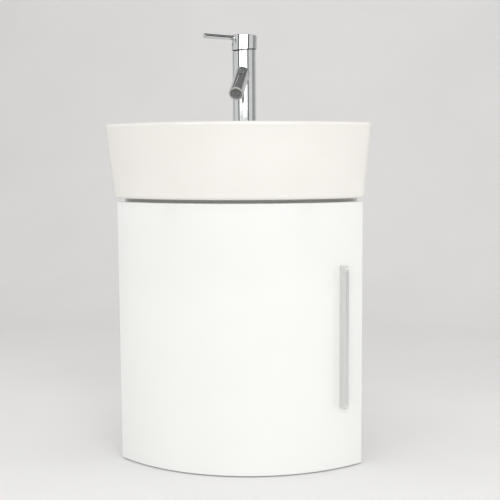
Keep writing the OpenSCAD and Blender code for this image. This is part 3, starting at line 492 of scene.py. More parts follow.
def door_lacquer():
    """Sprayed high gloss white lacquer with a faint orange peel."""
    material, shader, links, principled = blank("door_lacquer")
    place = place_of(shader, links)
    paint(shader, links, principled, grain(shader, links, place, scale=3), DOOR_WHITE)
    smudge = grain(shader, links, place, scale=22, detail=4)
    dull(shader, links, principled, smudge, low=0.16, high=0.24)
    clear_coat(principled, weight=0.5, rough=0.06)
    peel = grain(shader, links, place, scale=420, detail=2)
    relief(shader, links, principled, peel, strength=0.12, distance=0.0004)
    return material


def basin_glaze():
    """Warm white glaze, with soft unevenness from firing."""
    material, shader, links, principled = blank("basin_glaze")
    place = place_of(shader, links)
    paint(shader, links, principled, grain(shader, links, place, scale=5), GLAZE_WHITE)
    pool = grain(shader, links, place, scale=14, detail=2)
    dull(shader, links, principled, pool, low=0.13, high=0.2)
    clear_coat(principled, weight=0.6, rough=0.04)
    wave = grain(shader, links, place, scale=30, detail=2)
    relief(shader, links, principled, wave, strength=0.15, distance=0.0006)
    return material


def chrome_plating():
    """Polished chrome with faint water marks."""
    material, shader, links, principled = blank("chrome_plating")
    principled.inputs["Metallic"].default_value = 1
    place = place_of(shader, links)
    paint(shader, links, principled, grain(shader, links, place, scale=40), CHROME_GREY)
    mark = grain(shader, links, place, scale=160, detail=4)
    dull(shader, links, principled, mark, low=0.05, high=0.11)
    wave = grain(shader, links, place, scale=60, detail=2)
    relief(shader, links, principled, wave, strength=0.04, distance=0.0003)
    return material


def brushed_metal(name, colours, low, high, stretch):
    """Metal with fine brush lines, whose pattern is stretched along the axis with the smallest number."""
    material, shader, links, principled = blank(name)
    principled.inputs["Metallic"].default_value = 1
    line = grain(shader, links, place_of(shader, links, stretch), scale=1, detail=4)
    paint(shader, links, principled, line, colours)
    dull(shader, links, principled, line, low, high)
    relief(shader, links, principled, line, strength=0.12, distance=0.0001)
    return material


def moulded_plastic(name, colours, low, high, size):
    """Moulded plastic or rubber with a fine spark-eroded texture."""
    material, shader, links, principled = blank(name)
    place = place_of(shader, links)
    speck = grain(shader, links, place, scale=size, detail=4)
    paint(shader, links, principled, speck, colours)
    dull(shader, links, principled, speck, low, high)
    pit = grain(shader, links, place, scale=size * 3, detail=2)
    relief(shader, links, principled, pit, strength=0.2, distance=0.0002)
    return material


def melamine_board():
    """White melamine facing with a fine pearl texture."""
    material, shader, links, principled = blank("melamine_board")
    place = place_of(shader, links)
    paint(shader, links, principled, grain(shader, links, place, scale=8), BOARD_WHITE)
    pearl = grain(shader, links, place, scale=700)
    dull(shader, links, principled, pearl, low=0.34, high=0.5)
    relief(shader, links, principled, pearl, strength=0.25, distance=0.0002)
    return material


FINISH = {
    "gloss_door": door_lacquer(),
    "glazed_ceramic": basin_glaze(),
    "chrome_plate": chrome_plating(),
    "satin_aluminium": brushed_metal("satin_aluminium", ALUMINIUM_GREY, 0.3, 0.42, (900, 900, 12)),
    "zinc_steel": brushed_metal("zinc_plate", ZINC_GREY, 0.28, 0.42, (260, 260, 260)),
    "brass_parts": brushed_metal("machined_brass", BRASS_BROWN, 0.26, 0.4, (500, 500, 500)),
    "copper_tube": brushed_metal("drawn_copper", COPPER_RED, 0.22, 0.38, (300, 300, 300)),
    "soft_rubber": moulded_plastic("soft_rubber", RUBBER_BLACK, 0.6, 0.8, 300),
    "white_plastic": moulded_plastic("white_plastic", PLASTIC_WHITE, 0.25, 0.4, 200),
    "grey_plastic": moulded_plastic("grey_plastic", PLASTIC_GREY, 0.4, 0.6, 350),
    "silver_plastic": moulded_plastic("silver_plastic", PLASTIC_SILVER, 0.35, 0.55, 500),
    "white_board": melamine_board(),
}

for part in frame["record"]["subparts"]:
    for material_slot in nodes[part["node"]].material_slots:
        material_slot.material = FINISH[part["material_slot"]]


# ---------- plan outlines ----------


def plan(left, right, height):
    """A point given by its distances along the left and the right wall."""
    return Vector((HALF_ROOT * (right - left), CORNER_Y - HALF_ROOT * (left + right), height))


def from_corner(point):
    """Distance of a point from the upright line of the wall corner."""
    return math.hypot(point.x, point.y - CORNER_Y)


def start_outline(point):
    """Begins an outline with a single point, and stays in edit mode."""
    bpy.ops.mesh.primitive_plane_add(size=1)
    piece = bpy.context.object
    open_mesh(piece, "VERT")
    pick_points(lambda p: p.x < 0 or p.y < 0)
    bpy.ops.mesh.delete(type="VERT")
    bpy.ops.mesh.select_all(action="SELECT")
    bpy.ops.transform.translate(value=point - Vector((0.5, 0.5, 0)))
    return piece


def bend_outline(centre, degrees, steps):
    """Carries the outline's last point round a centre, to the left when the angle is positive."""
    bpy.ops.mesh.spin(steps=steps, angle=-math.radians(degrees), center=centre, axis=(0, 0, 1))


def draw_outline(start, end):
    """Carries the outline's last point along a straight line."""
    bpy.ops.mesh.extrude_vertices_move(TRANSFORM_OT_translate={"value": end - start})


def fill_outline(piece):
    """Joins the outline's ends and fills it with one face that looks up."""
    bpy.ops.mesh.select_all(action="SELECT")
    bpy.ops.mesh.remove_doubles(threshold=MERGE_ENDS)
    bpy.ops.mesh.select_all(action="SELECT")
    bpy.ops.mesh.edge_face_add()
    close_mesh()
    if piece.data.polygons[0].normal.z < 0:
        open_mesh(piece)
        bpy.ops.mesh.select_all(action="SELECT")
        bpy.ops.mesh.flip_normals()
        close_mesh()


def raise_face(piece, height, spread=1.0):
    """Pulls the flat face up into a solid, and spreads its new end about the wall corner."""
    open_mesh(piece)
    bpy.ops.mesh.select_all(action="SELECT")
    bpy.ops.mesh.extrude_region_move(TRANSFORM_OT_translate={"value": (0, 0, height)})
    if spread != 1.0:
        bpy.ops.transform.resize(value=(spread, spread, 1), center_override=CORNER)
    close_mesh()
    tidy(piece)


def quarter_face(radius, side, bend, height, back_bend=None, back_line=None):
    """A quarter-round face between the walls, with rounded front corners and a rounded or cut-off back."""
    long = math.sqrt((radius - bend) ** 2 - (side + bend) ** 2)
    angle = math.degrees(math.atan2(side + bend, long))
    piece = start_outline(plan(long, side, height))
    bend_outline(plan(long, side + bend, height), 90 + angle, QUARTER_BEND_STEPS)
    bend_outline((*CORNER[:2], height), 90 - 2 * angle, QUARTER_ARC_STEPS)
    bend_outline(plan(side + bend, long, height), 90 + angle, QUARTER_BEND_STEPS)
    if back_bend is None:
        draw_outline(plan(side, long, height), plan(side, back_line, height))
        draw_outline(plan(side, back_line, height), plan(back_line, side, height))
        last = plan(back_line, side, height)
    else:
        draw_outline(plan(side, long, height), plan(side, side + back_bend, height))
        bend_outline(plan(side + back_bend, side + back_bend, height), 90, QUARTER_BACK_STEPS)
        last = plan(side + back_bend, side, height)
    draw_outline(last, plan(long, side, height))
    fill_outline(piece)
    return piece


def turned(points):
    """A piece turned on the z axis, from a closed outline given as radius and height."""
    places = [Vector((radius, 0, height)) for radius, height in points]
    piece = start_outline(places[0])
    for before, after in zip(places, places[1:] + places[:1]):
        draw_outline(before, after)
    bpy.ops.mesh.select_all(action="SELECT")
    bpy.ops.mesh.remove_doubles(threshold=MERGE)
    bpy.ops.mesh.select_all(action="SELECT")
    bpy.ops.mesh.spin(steps=PIPE_SIDES, angle=math.radians(360), center=(0, 0, 0), axis=(0, 0, 1))
    bpy.ops.mesh.select_all(action="SELECT")
    bpy.ops.mesh.remove_doubles(threshold=MERGE)
    bpy.ops.mesh.select_all(action="SELECT")
    bpy.ops.mesh.normals_make_consistent(inside=False)
    close_mesh()
    return piece


# ---------- tools for holes ----------


def drill(piece, radius, start, end, degrees, height, along=0.0, sides=CUP_SIDES):
    """Cuts a hole that points away from the wall corner, at an angle from the left wall."""
    tool = rod(radius, start, end, sides)
    move_to(tool, (0, along, height), (0, math.radians(90), 0))
    move_to(tool, CORNER, (0, 0, LEFT_WALL + math.radians(degrees)))
    cut(piece, tool)


def sink(piece, radius, low, high, distance, sides=PIPE_SIDES):
    """Cuts an upright hole on the middle line, at a distance from the wall corner."""
    tool = rod(radius, low, high, sides)
    move_to(tool, (0, CORNER_Y - distance, 0))
    cut(piece, tool)


# ---------- door and handle ----------


def curved_door():
    """The door: a curved plan with rounded corners pulled up to its height, with soft edges and drillings."""
    out_reach = DOOR_END + DOOR_OUT_BEND
    out_long = math.sqrt((DOOR_R - DOOR_OUT_BEND) ** 2 - out_reach**2)
    out_angle = math.degrees(math.atan2(out_reach, out_long))
    in_reach = DOOR_END + DOOR_IN_BEND
    in_long = math.sqrt((DOOR_IN_R + DOOR_IN_BEND) ** 2 - in_reach**2)
    in_angle = math.degrees(math.atan2(in_reach, in_long))
    low = DOOR_FOOT
    centre = (*CORNER[:2], low)
    piece = start_outline(plan(out_long, DOOR_END, low))
    bend_outline(plan(out_long, out_reach, low), 90 + out_angle, DOOR_OUT_STEPS)
    bend_outline(centre, 90 - 2 * out_angle, DOOR_ARC_STEPS)
    bend_outline(plan(out_reach, out_long, low), 90 + out_angle, DOOR_OUT_STEPS)
    draw_outline(plan(DOOR_END, out_long, low), plan(DOOR_END, in_long, low))
    bend_outline(plan(in_reach, in_long, low), 90 - in_angle, DOOR_IN_STEPS)
    bend_outline(centre, -(90 - 2 * in_angle), DOOR_ARC_STEPS)
    bend_outline(plan(in_long, in_reach, low), 90 - in_angle, DOOR_IN_STEPS)
    draw_outline(plan(in_long, DOOR_END, low), plan(out_long, DOOR_END, low))
    fill_outline(piece)
    raise_face(piece, DOOR_HEAD - DOOR_FOOT)

    outer_face = DOOR_R - DOOR_OUT_BEND - 6 * NEAR_FACE

    def outer_rim(a, b):
        level = at_level(DOOR_HEAD)(a, b) or at_level(DOOR_FOOT)(a, b)
        return level and min(from_corner(a), from_corner(b)) > outer_face

    round_edges(piece, outer_rim, DOOR_SOFT, segments=5)
    start = DOOR_IN_R - PAST
    for height in CUP_Z:
        drill(piece, CUP_R, start, DOOR_IN_R + CUP_DEEP, CUP_ANGLE, height)
        for side in (-CUP_SCREW_UP, CUP_SCREW_UP):
            end = DOOR_IN_R + CUP_SCREW_DEEP
            drill(piece, CUP_SCREW_R, start, end, CUP_ANGLE, height + side, CUP_SCREW_ALONG, SCREW_SIDES)
    drill_for_handle(piece, DOOR_IN_R, DOOR_R + PAST)
    smooth(piece)
    finish_piece(piece, "curved_door", "door", "gloss_door", "door")


def drill_for_handle(piece, face, end):
    """Cuts the two holes for the handle's screws, from just inside a face."""
    for side in (-HANDLE_SCREW_UP, HANDLE_SCREW_UP):
        height = DOOR_MID + side
        drill(piece, HANDLE_SCREW_R, face - PAST / 2, end, HANDLE_ANGLE, height, sides=SCREW_SIDES)


def handle_blank(low, high):
    """A length of the handle's flat bar, standing on edge off the door, with softened long edges."""
    foot = DOOR_R + HANDLE_GAP
    tip = foot + HANDLE_DEEP
    piece = block((HANDLE_DEEP, HANDLE_WIDE, high - low), (foot + HANDLE_DEEP / 2, 0, (low + high) / 2))

    def front(a, b):
        return min(a.x, b.x) > tip - NEAR_FACE and abs(a.y - b.y) < HANDLE_WIDE / 2

    def back(a, b):
        return max(a.x, b.x) < foot + NEAR_FACE and abs(a.y - b.y) < HANDLE_WIDE / 2

    round_edges(piece, front, BAR_FRONT_SOFT, segments=4)
    round_edges(piece, back, BAR_BACK_SOFT, segments=3)
    return piece


def bar_handle():
    """The upright bar and its two moulded end caps."""
    low = DOOR_MID - HANDLE_HALF + END_CAP_LONG
    high = DOOR_MID + HANDLE_HALF - END_CAP_LONG
    place = (0, 0, LEFT_WALL + math.radians(HANDLE_ANGLE))
    bar = handle_blank(low, high)
    round_edges(bar, lambda a, b: at_level(low)(a, b) or at_level(high)(a, b), SAWN_SOFT, segments=2)
    move_to(bar, CORNER, place)
    drill_for_handle(bar, DOOR_R, DOOR_R + HANDLE_SCREW_DEEP)
    smooth(bar)
    finish_piece(bar, "bar_grip", "door", "satin_aluminium", "handle_bar")

    top = high + END_CAP_LONG
    cap = handle_blank(high, top)
    front = DOOR_R + HANDLE_GAP + HANDLE_DEEP - 0.0016
    round_edges(cap, lambda a, b: at_level(top)(a, b) and min(a.x, b.x) > front, END_CAP_BEND, segments=8)
    round_edges(cap, at_level(high), SAWN_SOFT, segments=2)
    hold(cap)
    bpy.ops.object.duplicate()
    other = bpy.context.object
    move_to(other, (0, 0, 2 * DOOR_MID), (math.radians(180), 0, 0))
    cap.select_set(True)
    bpy.context.view_layer.objects.active = cap
    bpy.ops.object.join()
    move_to(cap, CORNER, place)
    tidy(cap)
    smooth(cap)
    finish_piece(cap, "grip_end_caps", "door", "silver_plastic", "handle_end_caps")


# ---------- basin ----------


def bowl_outline(half):
    """One face with the bowl's plan: a band about the wall corner with a round end at each side."""
    middle = []
    for degrees in (MIDDLE_DEGREES - BOWL_SWEEP, MIDDLE_DEGREES + BOWL_SWEEP):
        turn = math.radians(degrees)
        middle.append(plan(BOWL_R * math.cos(turn), BOWL_R * math.sin(turn), RIM_Z))
    reach = (BOWL_R + half) / BOWL_R
    first = Vector(CORNER) * (1 - reach) + middle[0] * reach
    first.z = RIM_Z
    centre = (*CORNER[:2], RIM_Z)
    piece = start_outline(first)
    bend_outline(centre, 2 * BOWL_SWEEP, BOWL_ARC_STEPS)
    bend_outline(middle[1], 180, BOWL_END_STEPS)
    bend_outline(centre, -2 * BOWL_SWEEP, BOWL_ARC_STEPS)
    bend_outline(middle[0], 180, BOWL_END_STEPS)
    fill_outline(piece)
    return piece


def bowl_solid(grow, lip):
    """The bowl's form: its plan stepped down and in, over the lip, down the wall and round into the floor."""
    floor = FLOOR_BEND + grow
    centre = BOWL_Z + FLOOR_BEND
    foot = BOWL_HALF - math.tan(WALL_LEAN) * (RIM_Z - centre) - FLOOR_BEND / math.cos(WALL_LEAN)
    wall_top = BOWL_HALF + grow / math.cos(WALL_LEAN)
    span = math.radians(90) - WALL_LEAN
    path = []
    if lip:
        for step in range(LIP_STEPS + 1):
            bend = span * step / LIP_STEPS
            out = wall_top + lip * (LIP_REACH - math.sin(bend))
            path.append((out, RIM_Z - lip * (1 - math.cos(bend))))
    else:
        path.append((wall_top, RIM_Z))
    for step in range(FLOOR_STEPS + 1):
        bend = WALL_LEAN + span * step / FLOOR_STEPS
        path.append((foot + floor * math.cos(bend), centre - floor * math.sin(bend)))
    piece = bowl_outline(path[0][0])
    open_mesh(piece)
    bpy.ops.mesh.select_all(action="SELECT")
    for before, after in zip(path, path[1:]):
        bpy.ops.mesh.inset(thickness=before[0] - after[0], depth=0, use_even_offset=True)
        bpy.ops.transform.translate(value=(0, 0, after[1] - before[1]))
    close_mesh()
    open_mesh(piece, "EDGE")
    bpy.ops.mesh.select_non_manifold()
    bpy.ops.mesh.extrude_edges_move(TRANSFORM_OT_translate={"value": (0, 0, 3 * PAST)})
    bpy.ops.mesh.edge_face_add()
    close_mesh()
    tidy(piece)
    return piece


def hollow_under():
    """The open space under the basin, around the bowl, the waste boss, the overflow duct and the screw pads."""
    low = BASIN_Z + DECK
    high = RIM_Z - DECK
    space = quarter_face(HOLLOW_FOOT_R, HOLLOW_SIDE, HOLLOW_BEND, low, back_bend=HOLLOW_BACK_BEND)
    raise_face(space, high - low, HOLLOW_RIM_R / HOLLOW_FOOT_R)
    cut(space, bowl_solid(BOWL_WALL, 0))
    sink(space, DUCT_SHELL_R, BASIN_Z, high - DECK, DUCT_R)
    sink(space, BOSS_R, BOSS_LOW, BOSS_TOP, BOWL_R)
    drill(space, DUCT_LOW_SHELL_R, DUCT_R, BOWL_R, MIDDLE_DEGREES, DUCT_LOW)
    for degrees in (0, 90):
        pad = block(PAD_SIZE, (PAD_OUT, 0, BASIN_Z + PAD_UP))
        move_to(pad, CORNER, (0, 0, LEFT_WALL + math.radians(degrees)))
        cut(space, pad)
    return space


def ceramic_basin():
    """The basin: a quarter-round block with a sloping front, a bowl, an open underside and its holes."""
    piece = quarter_face(FOOT_R, 0, BASIN_BEND, BASIN_Z, back_bend=BASIN_BACK_BEND)
    raise_face(piece, RIM_Z - BASIN_Z, RIM_R / FOOT_R)
    round_edges(piece, at_level(RIM_Z), RIM_SOFT, segments=8)
    round_edges(piece, at_level(BASIN_Z), FOOT_SOFT, segments=7)
    cut(piece, hollow_under())
    below = 0.01
    opening = quarter_face(OPENING_R, OPENING_SIDE, OPENING_BEND, BASIN_Z - below, back_line=OPENING_BACK)
    raise_face(opening, below + OPENING_UP)
    cut(piece, opening)
    cut(piece, bowl_solid(0, LIP_BEND))
    sink(piece, DUCT_BORE_R, DUCT_LOW, DUCT_TOP, DUCT_R, PIN_SIDES)
    drill(piece, DUCT_LOW_BORE_R, DUCT_R, BOWL_R, MIDDLE_DEGREES, DUCT_LOW, sides=PIN_SIDES)
    drill(piece, OVERFLOW_HOLE_R, DUCT_R, OVERFLOW_IN, MIDDLE_DEGREES, OVERFLOW_Z)
    sink(piece, SEAT_R, BOWL_Z - SEAT_DEEP, BOWL_Z + PAST, BOWL_R, BORE_SIDES)
    sink(piece, WASTE_HOLE_R, BASIN_Z - below, BOWL_Z, BOWL_R)
    sink(piece, TAP_HOLE_R, RIM_Z - 2 * below, RIM_Z + below, TAP_BACK)
    smooth(piece, degrees=34)
    finish_piece(piece, "ceramic_basin", "cabinet", "glazed_ceramic", "basin")


# ---------- tap ----------


def slope_block(height, way, turn):
    """A large block above or below the sloping joint of the tap."""
    side = 0.2
    tool = block((side, side, side), (0, 0, way * side / 2))
    move_to(tool, (0, 0, height), (0, -JOINT_SLOPE, 0))
    move_to(tool, (0, 0, 0), (0, 0, turn))
    return tool


def ring_of(radius, hole, low, high):
    """A ring on the z axis."""
    piece = rod(radius, low, high, RING_SIDES)
    cut(piece, rod(hole, low - PAST / 2, high + PAST / 2, RING_SIDES))
    return piece


def along_spout(tool):
    """Lays a tool from the z axis along the spout."""
    move_to(tool, (0, 0, SPOUT_Z), (math.radians(90) + SPOUT_DROP, 0, 0))
    return tool


def stand_tap(piece):
    """Puts a piece of the tap on the basin."""
    move_to(piece, (0, TAP_Y, 0), (0, 0, TAP_TURN))


def lift_cap(piece):
    """Puts a piece of the cap at its resting lift and turn."""
    move_to(piece, (0, 0, -LIFT_Z))
    move_to(piece, (0, 0, LIFT_Z), (0, LEVER_REST, 0))
    move_to(piece, (0, TAP_Y, 0), (0, 0, LEVER_TURN))


def to_the_side(piece, height):
    """Lays a piece from the z axis to the left, at a height."""
    move_to(piece, (0, 0, height), (0, math.radians(-90), 0))


def tap_column():
    """The tap's body with its straight spout, bored for the cartridge and the outlet, and its foot ring."""
    piece = rod(BODY_R, BODY_Z, BODY_TOP + 0.006, BODY_SIDES)
    spout = rod(SPOUT_R, 0, SPOUT_LONG, RING_SIDES)
    round_edges(spout, at_level(SPOUT_LONG), SPOUT_SOFT, segments=3)
    join_by(piece, along_spout(spout), "UNION")
    cut(piece, slope_block(BODY_TOP, 1, LEVER_TURN - TAP_TURN))
    cut(piece, rod(CHAMBER_R, CHAMBER_Z, BODY_TOP + 0.019, BORE_SIDES))
    seat = SPOUT_LONG - AERATOR_DEEP
    cut(piece, along_spout(rod(WATERWAY_R, PAST / 2, seat + PAST / 2, PIPE_SIDES)))
    cut(piece, along_spout(rod(AERATOR_R, seat, SPOUT_LONG + 0.003, BORE_SIDES)))
    cut(piece, along_spout(ring_of(SPOUT_R + 0.0027, GROOVE_R, GROOVE_FROM, GROOVE_TO)))
    smooth(piece, degrees=30)
    stand_tap(piece)
    finish_piece(piece, "tap_column", "cabinet", "chrome_plate", "tap_body")

    top = RIM_Z + FOOT_RING_HIGH
    ring = rod(FOOT_RING_R, RIM_Z, top, RING_SIDES)
    round_edges(ring, at_level(top), FOOT_RING_SOFT, segments=4)
    cut(ring, rod(FOOT_RING_IN_R, RIM_Z - PAST / 4, top + PAST / 2, RING_SIDES))
    smooth(ring, degrees=30)
    stand_tap(ring)
    finish_piece(ring, "tap_foot_ring", "cabinet", "chrome_plate", "tap_base_ring")


def tap_head():
    """The cap with its sloping skirt, and the pin lever that points to the side."""
    cap = rod(CAP_R, SKIRT_Z - 0.005, CAP_TOP, BODY_SIDES)
    round_edges(cap, at_level(CAP_TOP), CAP_SOFT, segments=4)
    cut(cap, slope_block(SKIRT_Z, -1, 0))
    cut(cap, rod(CAP_IN_R, SKIRT_Z - 0.010, CAP_TOP - CAP_ROOF, RING_SIDES))
    hole = rod(INDEX_R, CAP_R - 0.007, CAP_R + 0.003, PIN_SIDES)
    to_the_side(hole, INDEX_Z)
    cut(cap, hole)
    smooth(cap, degrees=30)
    lift_cap(cap)
    finish_piece(cap, "tap_crown", "mixer_lever", "chrome_plate", "tap_cap")

    lever = rod(LEVER_R, LEVER_FROM, LEVER_TO, PIPE_SIDES)
    round_edges(lever, at_level(LEVER_TO), LEVER_TIP_SOFT, segments=2)
    round_edges(lever, at_level(LEVER_FROM), LEVER_FOOT_SOFT, segments=2)
    join_by(lever, rod(LEVER_ROOT_R, CAP_IN_R, CAP_R + 0.003, PIN_SIDES), "UNION")
    smooth(lever, degrees=30)
    to_the_side(lever, LEVER_Z)
    lift_cap(lever)
    finish_piece(lever, "pin_lever", "mixer_lever", "chrome_plate", "tap_lever")


# ---------- waste, plug and bottle trap ----------


def grip_ribs(piece, radius, low, high):
    """Round ribs for the fingers all round a piece, with rounded tops."""
    for turn in range(0, 360, RIB_STEP):
        rib = rod(RIB_R, low, high, SCREW_SIDES)
        round_edges(rib, at_level(high), RIB_SOFT, segments=3)
        move_to(rib, (radius, 0, 0))
        move_to(rib, (0, 0, 0), (0, 0, math.radians(turn)))
        join_by(piece, rib, "UNION")


def at_waste(piece):
    """Puts a piece on the upright line of the waste."""
    move_to(piece, (0, CORNER_Y - BOWL_R, 0))


def outlet_way(piece, start):
    """Lays a piece along the trap's outlet, which points to the wall corner."""
    move_to(piece, (0, start, OUTLET_Z), (math.radians(-90), 0, 0))
    return piece


def overflow_rim():
    """Chrome ring in the bowl's back wall: a sleeve and a rolled flange."""
    hole, sleeve, flange, wall = 0.0064, 0.0078, 0.0130, 0.0004
    ring = turned([
        (hole, -0.0040), (sleeve, -0.0040), (sleeve, wall), (flange, wall), (flange, 0.0009),
        (0.0126, 0.0016), (0.0118, 0.0020), (0.0106, 0.0022), (0.0092, 0.0021), (0.0080, 0.0017),
        (0.0070, 0.0010), (0.0065, 0.0001),
    ])
    smooth(ring, degrees=40)
    out = BOWL_R - BOWL_HALF + math.tan(WALL_LEAN) * (RIM_Z - OVERFLOW_Z)
    move_to(ring, (out, 0, OVERFLOW_Z), (0, math.radians(90) - WALL_LEAN, 0))
    move_to(ring, CORNER, (0, 0, LEFT_WALL + math.radians(MIDDLE_DEGREES)))
    finish_piece(ring, "overflow_rim", "cabinet", "chrome_plate", "overflow_ring")


def click_plug():
    """Sprung plug: a low dome with a rolled edge, the seal's groove below it, and its stem."""
    under, collar, groove = 0.0260, 0.0090, 0.0070
    plug = turned([
        (0, PLUG_Z + 0.0040), (0.008, PLUG_Z + 0.0039), (0.015, PLUG_Z + 0.0036),
        (0.021, PLUG_Z + 0.0031), (0.0255, PLUG_Z + 0.0024), (0.0280, PLUG_Z + 0.0018),
        (0.0288, PLUG_Z + 0.0013), (0.0290, PLUG_Z + 0.0007), (0.0287, PLUG_Z + 0.0002),
        (0.0282, PLUG_Z), (under, PLUG_Z), (under, PLUG_Z + 0.0010), (collar, PLUG_Z + 0.0010),
        (collar, PLUG_Z - 0.0020), (groove, PLUG_Z - 0.0020), (groove, PLUG_Z - 0.0050),
        (collar, PLUG_Z - 0.0050), (collar, PLUG_Z - 0.0065), (0.0085, PLUG_Z - 0.0070),
        (PLUG_STEM_R, PLUG_Z - 0.0070), (PLUG_STEM_R, PLUG_STEM_LOW + 0.0005),
        (PLUG_STEM_R - 0.0005, PLUG_STEM_LOW), (0, PLUG_STEM_LOW),
    ])
    smooth(plug)
    at_waste(plug)
    finish_piece(plug, "dome_plug", "click_plug", "chrome_plate", "waste_plug")


def trap_bottle():
    """The trap's upper part: a rounded shoulder, the dip tube inside and the outlet at the back."""
    roof = TRAP_SHOULDER - 0.0060
    body = turned([
        (DIP_IN_R, TRAP_TOP), (NECK_R, TRAP_TOP), (NECK_R, TRAP_SHOULDER + 0.0025),
        (0.0183, TRAP_SHOULDER + 0.0013), (0.0190, TRAP_SHOULDER + 0.0004), (0.0200, TRAP_SHOULDER),
        (0.0225, TRAP_SHOULDER - 0.0003), (0.0256, TRAP_SHOULDER - 0.0014),
        (0.0280, TRAP_SHOULDER - 0.0032), (0.0294, TRAP_SHOULDER - 0.0054),
        (TRAP_R, TRAP_SHOULDER - 0.0080), (TRAP_R, TRAP_LOW), (TRAP_IN_R, TRAP_LOW),
        (TRAP_IN_R, roof), (DIP_R, roof), (DIP_R, TRAP_LOW), (DIP_IN_R, TRAP_LOW),
    ])
    boss = rod(OUTLET_BOSS_R, 0, OUTLET_BOSS_LONG, PIPE_SIDES)
    round_edges(boss, at_level(OUTLET_BOSS_LONG), OUTLET_SOFT, segments=3)
    join_by(body, outlet_way(boss, OUTLET_BOSS_FROM), "UNION")
    bore = rod(OUTLET_BORE_R, 0, OUTLET_SOCKET_FROM - OUTLET_BORE_FROM + 0.010, PIPE_SIDES)
    cut(body, outlet_way(bore, OUTLET_BORE_FROM))
    cut(body, outlet_way(rod(OUTLET_SOCKET_R, 0, 0.030, PIPE_SIDES), OUTLET_SOCKET_FROM))
    smooth(body)
    at_waste(body)
    finish_piece(body, "trap_bottle", "cabinet", "white_plastic", "trap_body")


def trap_bowl():
    """The trap's screw-off cup with finger ribs."""
    thread = TRAP_R + 0.0001
    step = TRAP_LOW - 0.0002
    cup = turned([
        (0, CUP_LOW), (0.0220, CUP_LOW), (0.0262, CUP_LOW + 0.0005), (0.0296, CUP_LOW + 0.0020),
        (0.0319, CUP_LOW + 0.0043), (0.0331, CUP_LOW + 0.0072), (CUP_OUT_R, CUP_LOW + 0.0100),
        (CUP_OUT_R, CUP_TOP - 0.0014), (0.0329, CUP_TOP - 0.0004), (0.0321, CUP_TOP), (thread, CUP_TOP),
        (thread, step), (TRAP_IN_R, step), (TRAP_IN_R, CUP_LOW + 0.0140), (0.0255, CUP_LOW + 0.0105),
        (0.0220, CUP_LOW + 0.0090), (0, CUP_LOW + 0.0090),
    ])
    grip_ribs(cup, 0.033, CUP_TOP - 0.024, CUP_TOP - 0.002)
    smooth(cup)
    at_waste(cup)
    finish_piece(cup, "trap_bowl", "cabinet", "white_plastic", "trap_cup")


def trap_union_nuts():
    """The two ribbed nuts of the trap: one on the waste and one on the outlet pipe."""
    base = TAIL_Z - 0.010
    thread, collar, out = 0.01805, 0.0210, 0.0270
    nut = turned([
        (thread, base), (0.0262, base), (out, base + 0.0008), (out, base + 0.0188),
        (0.0262, base + 0.0200), (collar, base + 0.0200), (collar, base + 0.0060),
        (thread, base + 0.0060),
    ])
    grip_ribs(nut, 0.0265, base, base + 0.018)
    smooth(nut)
    at_waste(nut)
    finish_piece(nut, "waste_union_nut", "cabinet", "white_plastic", "trap_nut")

    thread, pipe, out = 0.01905, 0.01605, 0.0230
    ring = turned([
        (thread, 0), (0.0222, 0), (out, 0.0008), (out, 0.0148), (0.0222, 0.0160),
        (pipe, 0.0160), (pipe, 0.0102), (thread, 0.0102),
    ])
    grip_ribs(ring, 0.0225, 0, 0.014)
    smooth(ring)
    at_waste(outlet_way(ring, OUTLET_NUT_FROM))
    finish_piece(ring, "pipe_union_nut", "cabinet", "white_plastic", "outlet_nut")


curved_door()
bar_handle()
ceramic_basin()
tap_column()
tap_head()
overflow_rim()
click_plug()
trap_bottle()
trap_bowl()
trap_union_nuts()


# ---------- studio ----------

# Floor and backdrop
FLOOR_SIZE = (16, 10, 1)
BACK_Y = 3
BACK_HIGH = 7
BACK_BEND = 1.6

# Colour and strength of the surroundings: as light for the surfaces, and as seen or mirrored
SOFT_SKY = (1.0, 0.98, 0.96, 1), 0.52
BRIGHT_SKY = (0.98, 1.0, 0.98, 1), 0.78

# Where the lamps aim
UNIT_MIDDLE = (0, 0, 0.45)

UPRIGHT = math.radians(90)

# Camera, as fitted to the photo
CAMERA_PLACE = (0.2212, -1.9121, 0.6289)
CAMERA_TURN = (84.155, 0.255, 4.927)
CAMERA_LENS = 65.94
CAMERA_SHIFT = (-0.0373, 0.0048)


def backdrop():
    """Pale floor that sweeps up behind the unit."""
    bpy.ops.mesh.primitive_plane_add(size=1, location=(0, 0, 0))
    floor = bpy.context.object
    floor.scale = FLOOR_SIZE
    floor.location = (0, BACK_Y - FLOOR_SIZE[1] / 2, 0)
    settle(floor)

    def at_back(a, b):
        return min(a.y, b.y) > BACK_Y - 0.1

    open_mesh(floor, "EDGE")
    pick_edges(at_back)
    bpy.ops.mesh.extrude_region_move(TRANSFORM_OT_translate={"value": (0, 0, BACK_HIGH)})
    close_mesh()
    round_edges(floor, lambda a, b: at_back(a, b) and max(a.z, b.z) < 0.01, BACK_BEND, segments=24)
    hold(floor)
    bpy.ops.object.shade_smooth()
    material, shader, links, principled = blank("pale_floor")
    cloud = grain(shader, links, place_of(shader, links), scale=2)
    paint(shader, links, principled, cloud, FLOOR_GREY)
    principled.inputs["Roughness"].default_value = 0.8
    floor.name = "studio_floor"
    floor.data.materials.append(material)


def lamp(name, place, aim, size, power, mirrored=False):
    """A soft rectangular lamp, which polished metal may show or not."""
    bpy.ops.object.light_add(type="AREA", location=place)
    light = bpy.context.object
    light.name = name
    light.data.shape = "RECTANGLE"
    light.data.size = size[0]
    light.data.size_y = size[1]
    light.data.energy = power
    light.rotation_euler = (Vector(aim) - Vector(place)).to_track_quat("-Z", "Y").to_euler()
    light.visible_camera = False
    light.visible_glossy = mirrored


def round_tap(degrees, reach, height):
    """A place around the tap, by its angle from the front to the right."""
    turn = math.radians(degrees)
    return (reach * math.sin(turn), TAP_Y - reach * math.cos(turn), height)


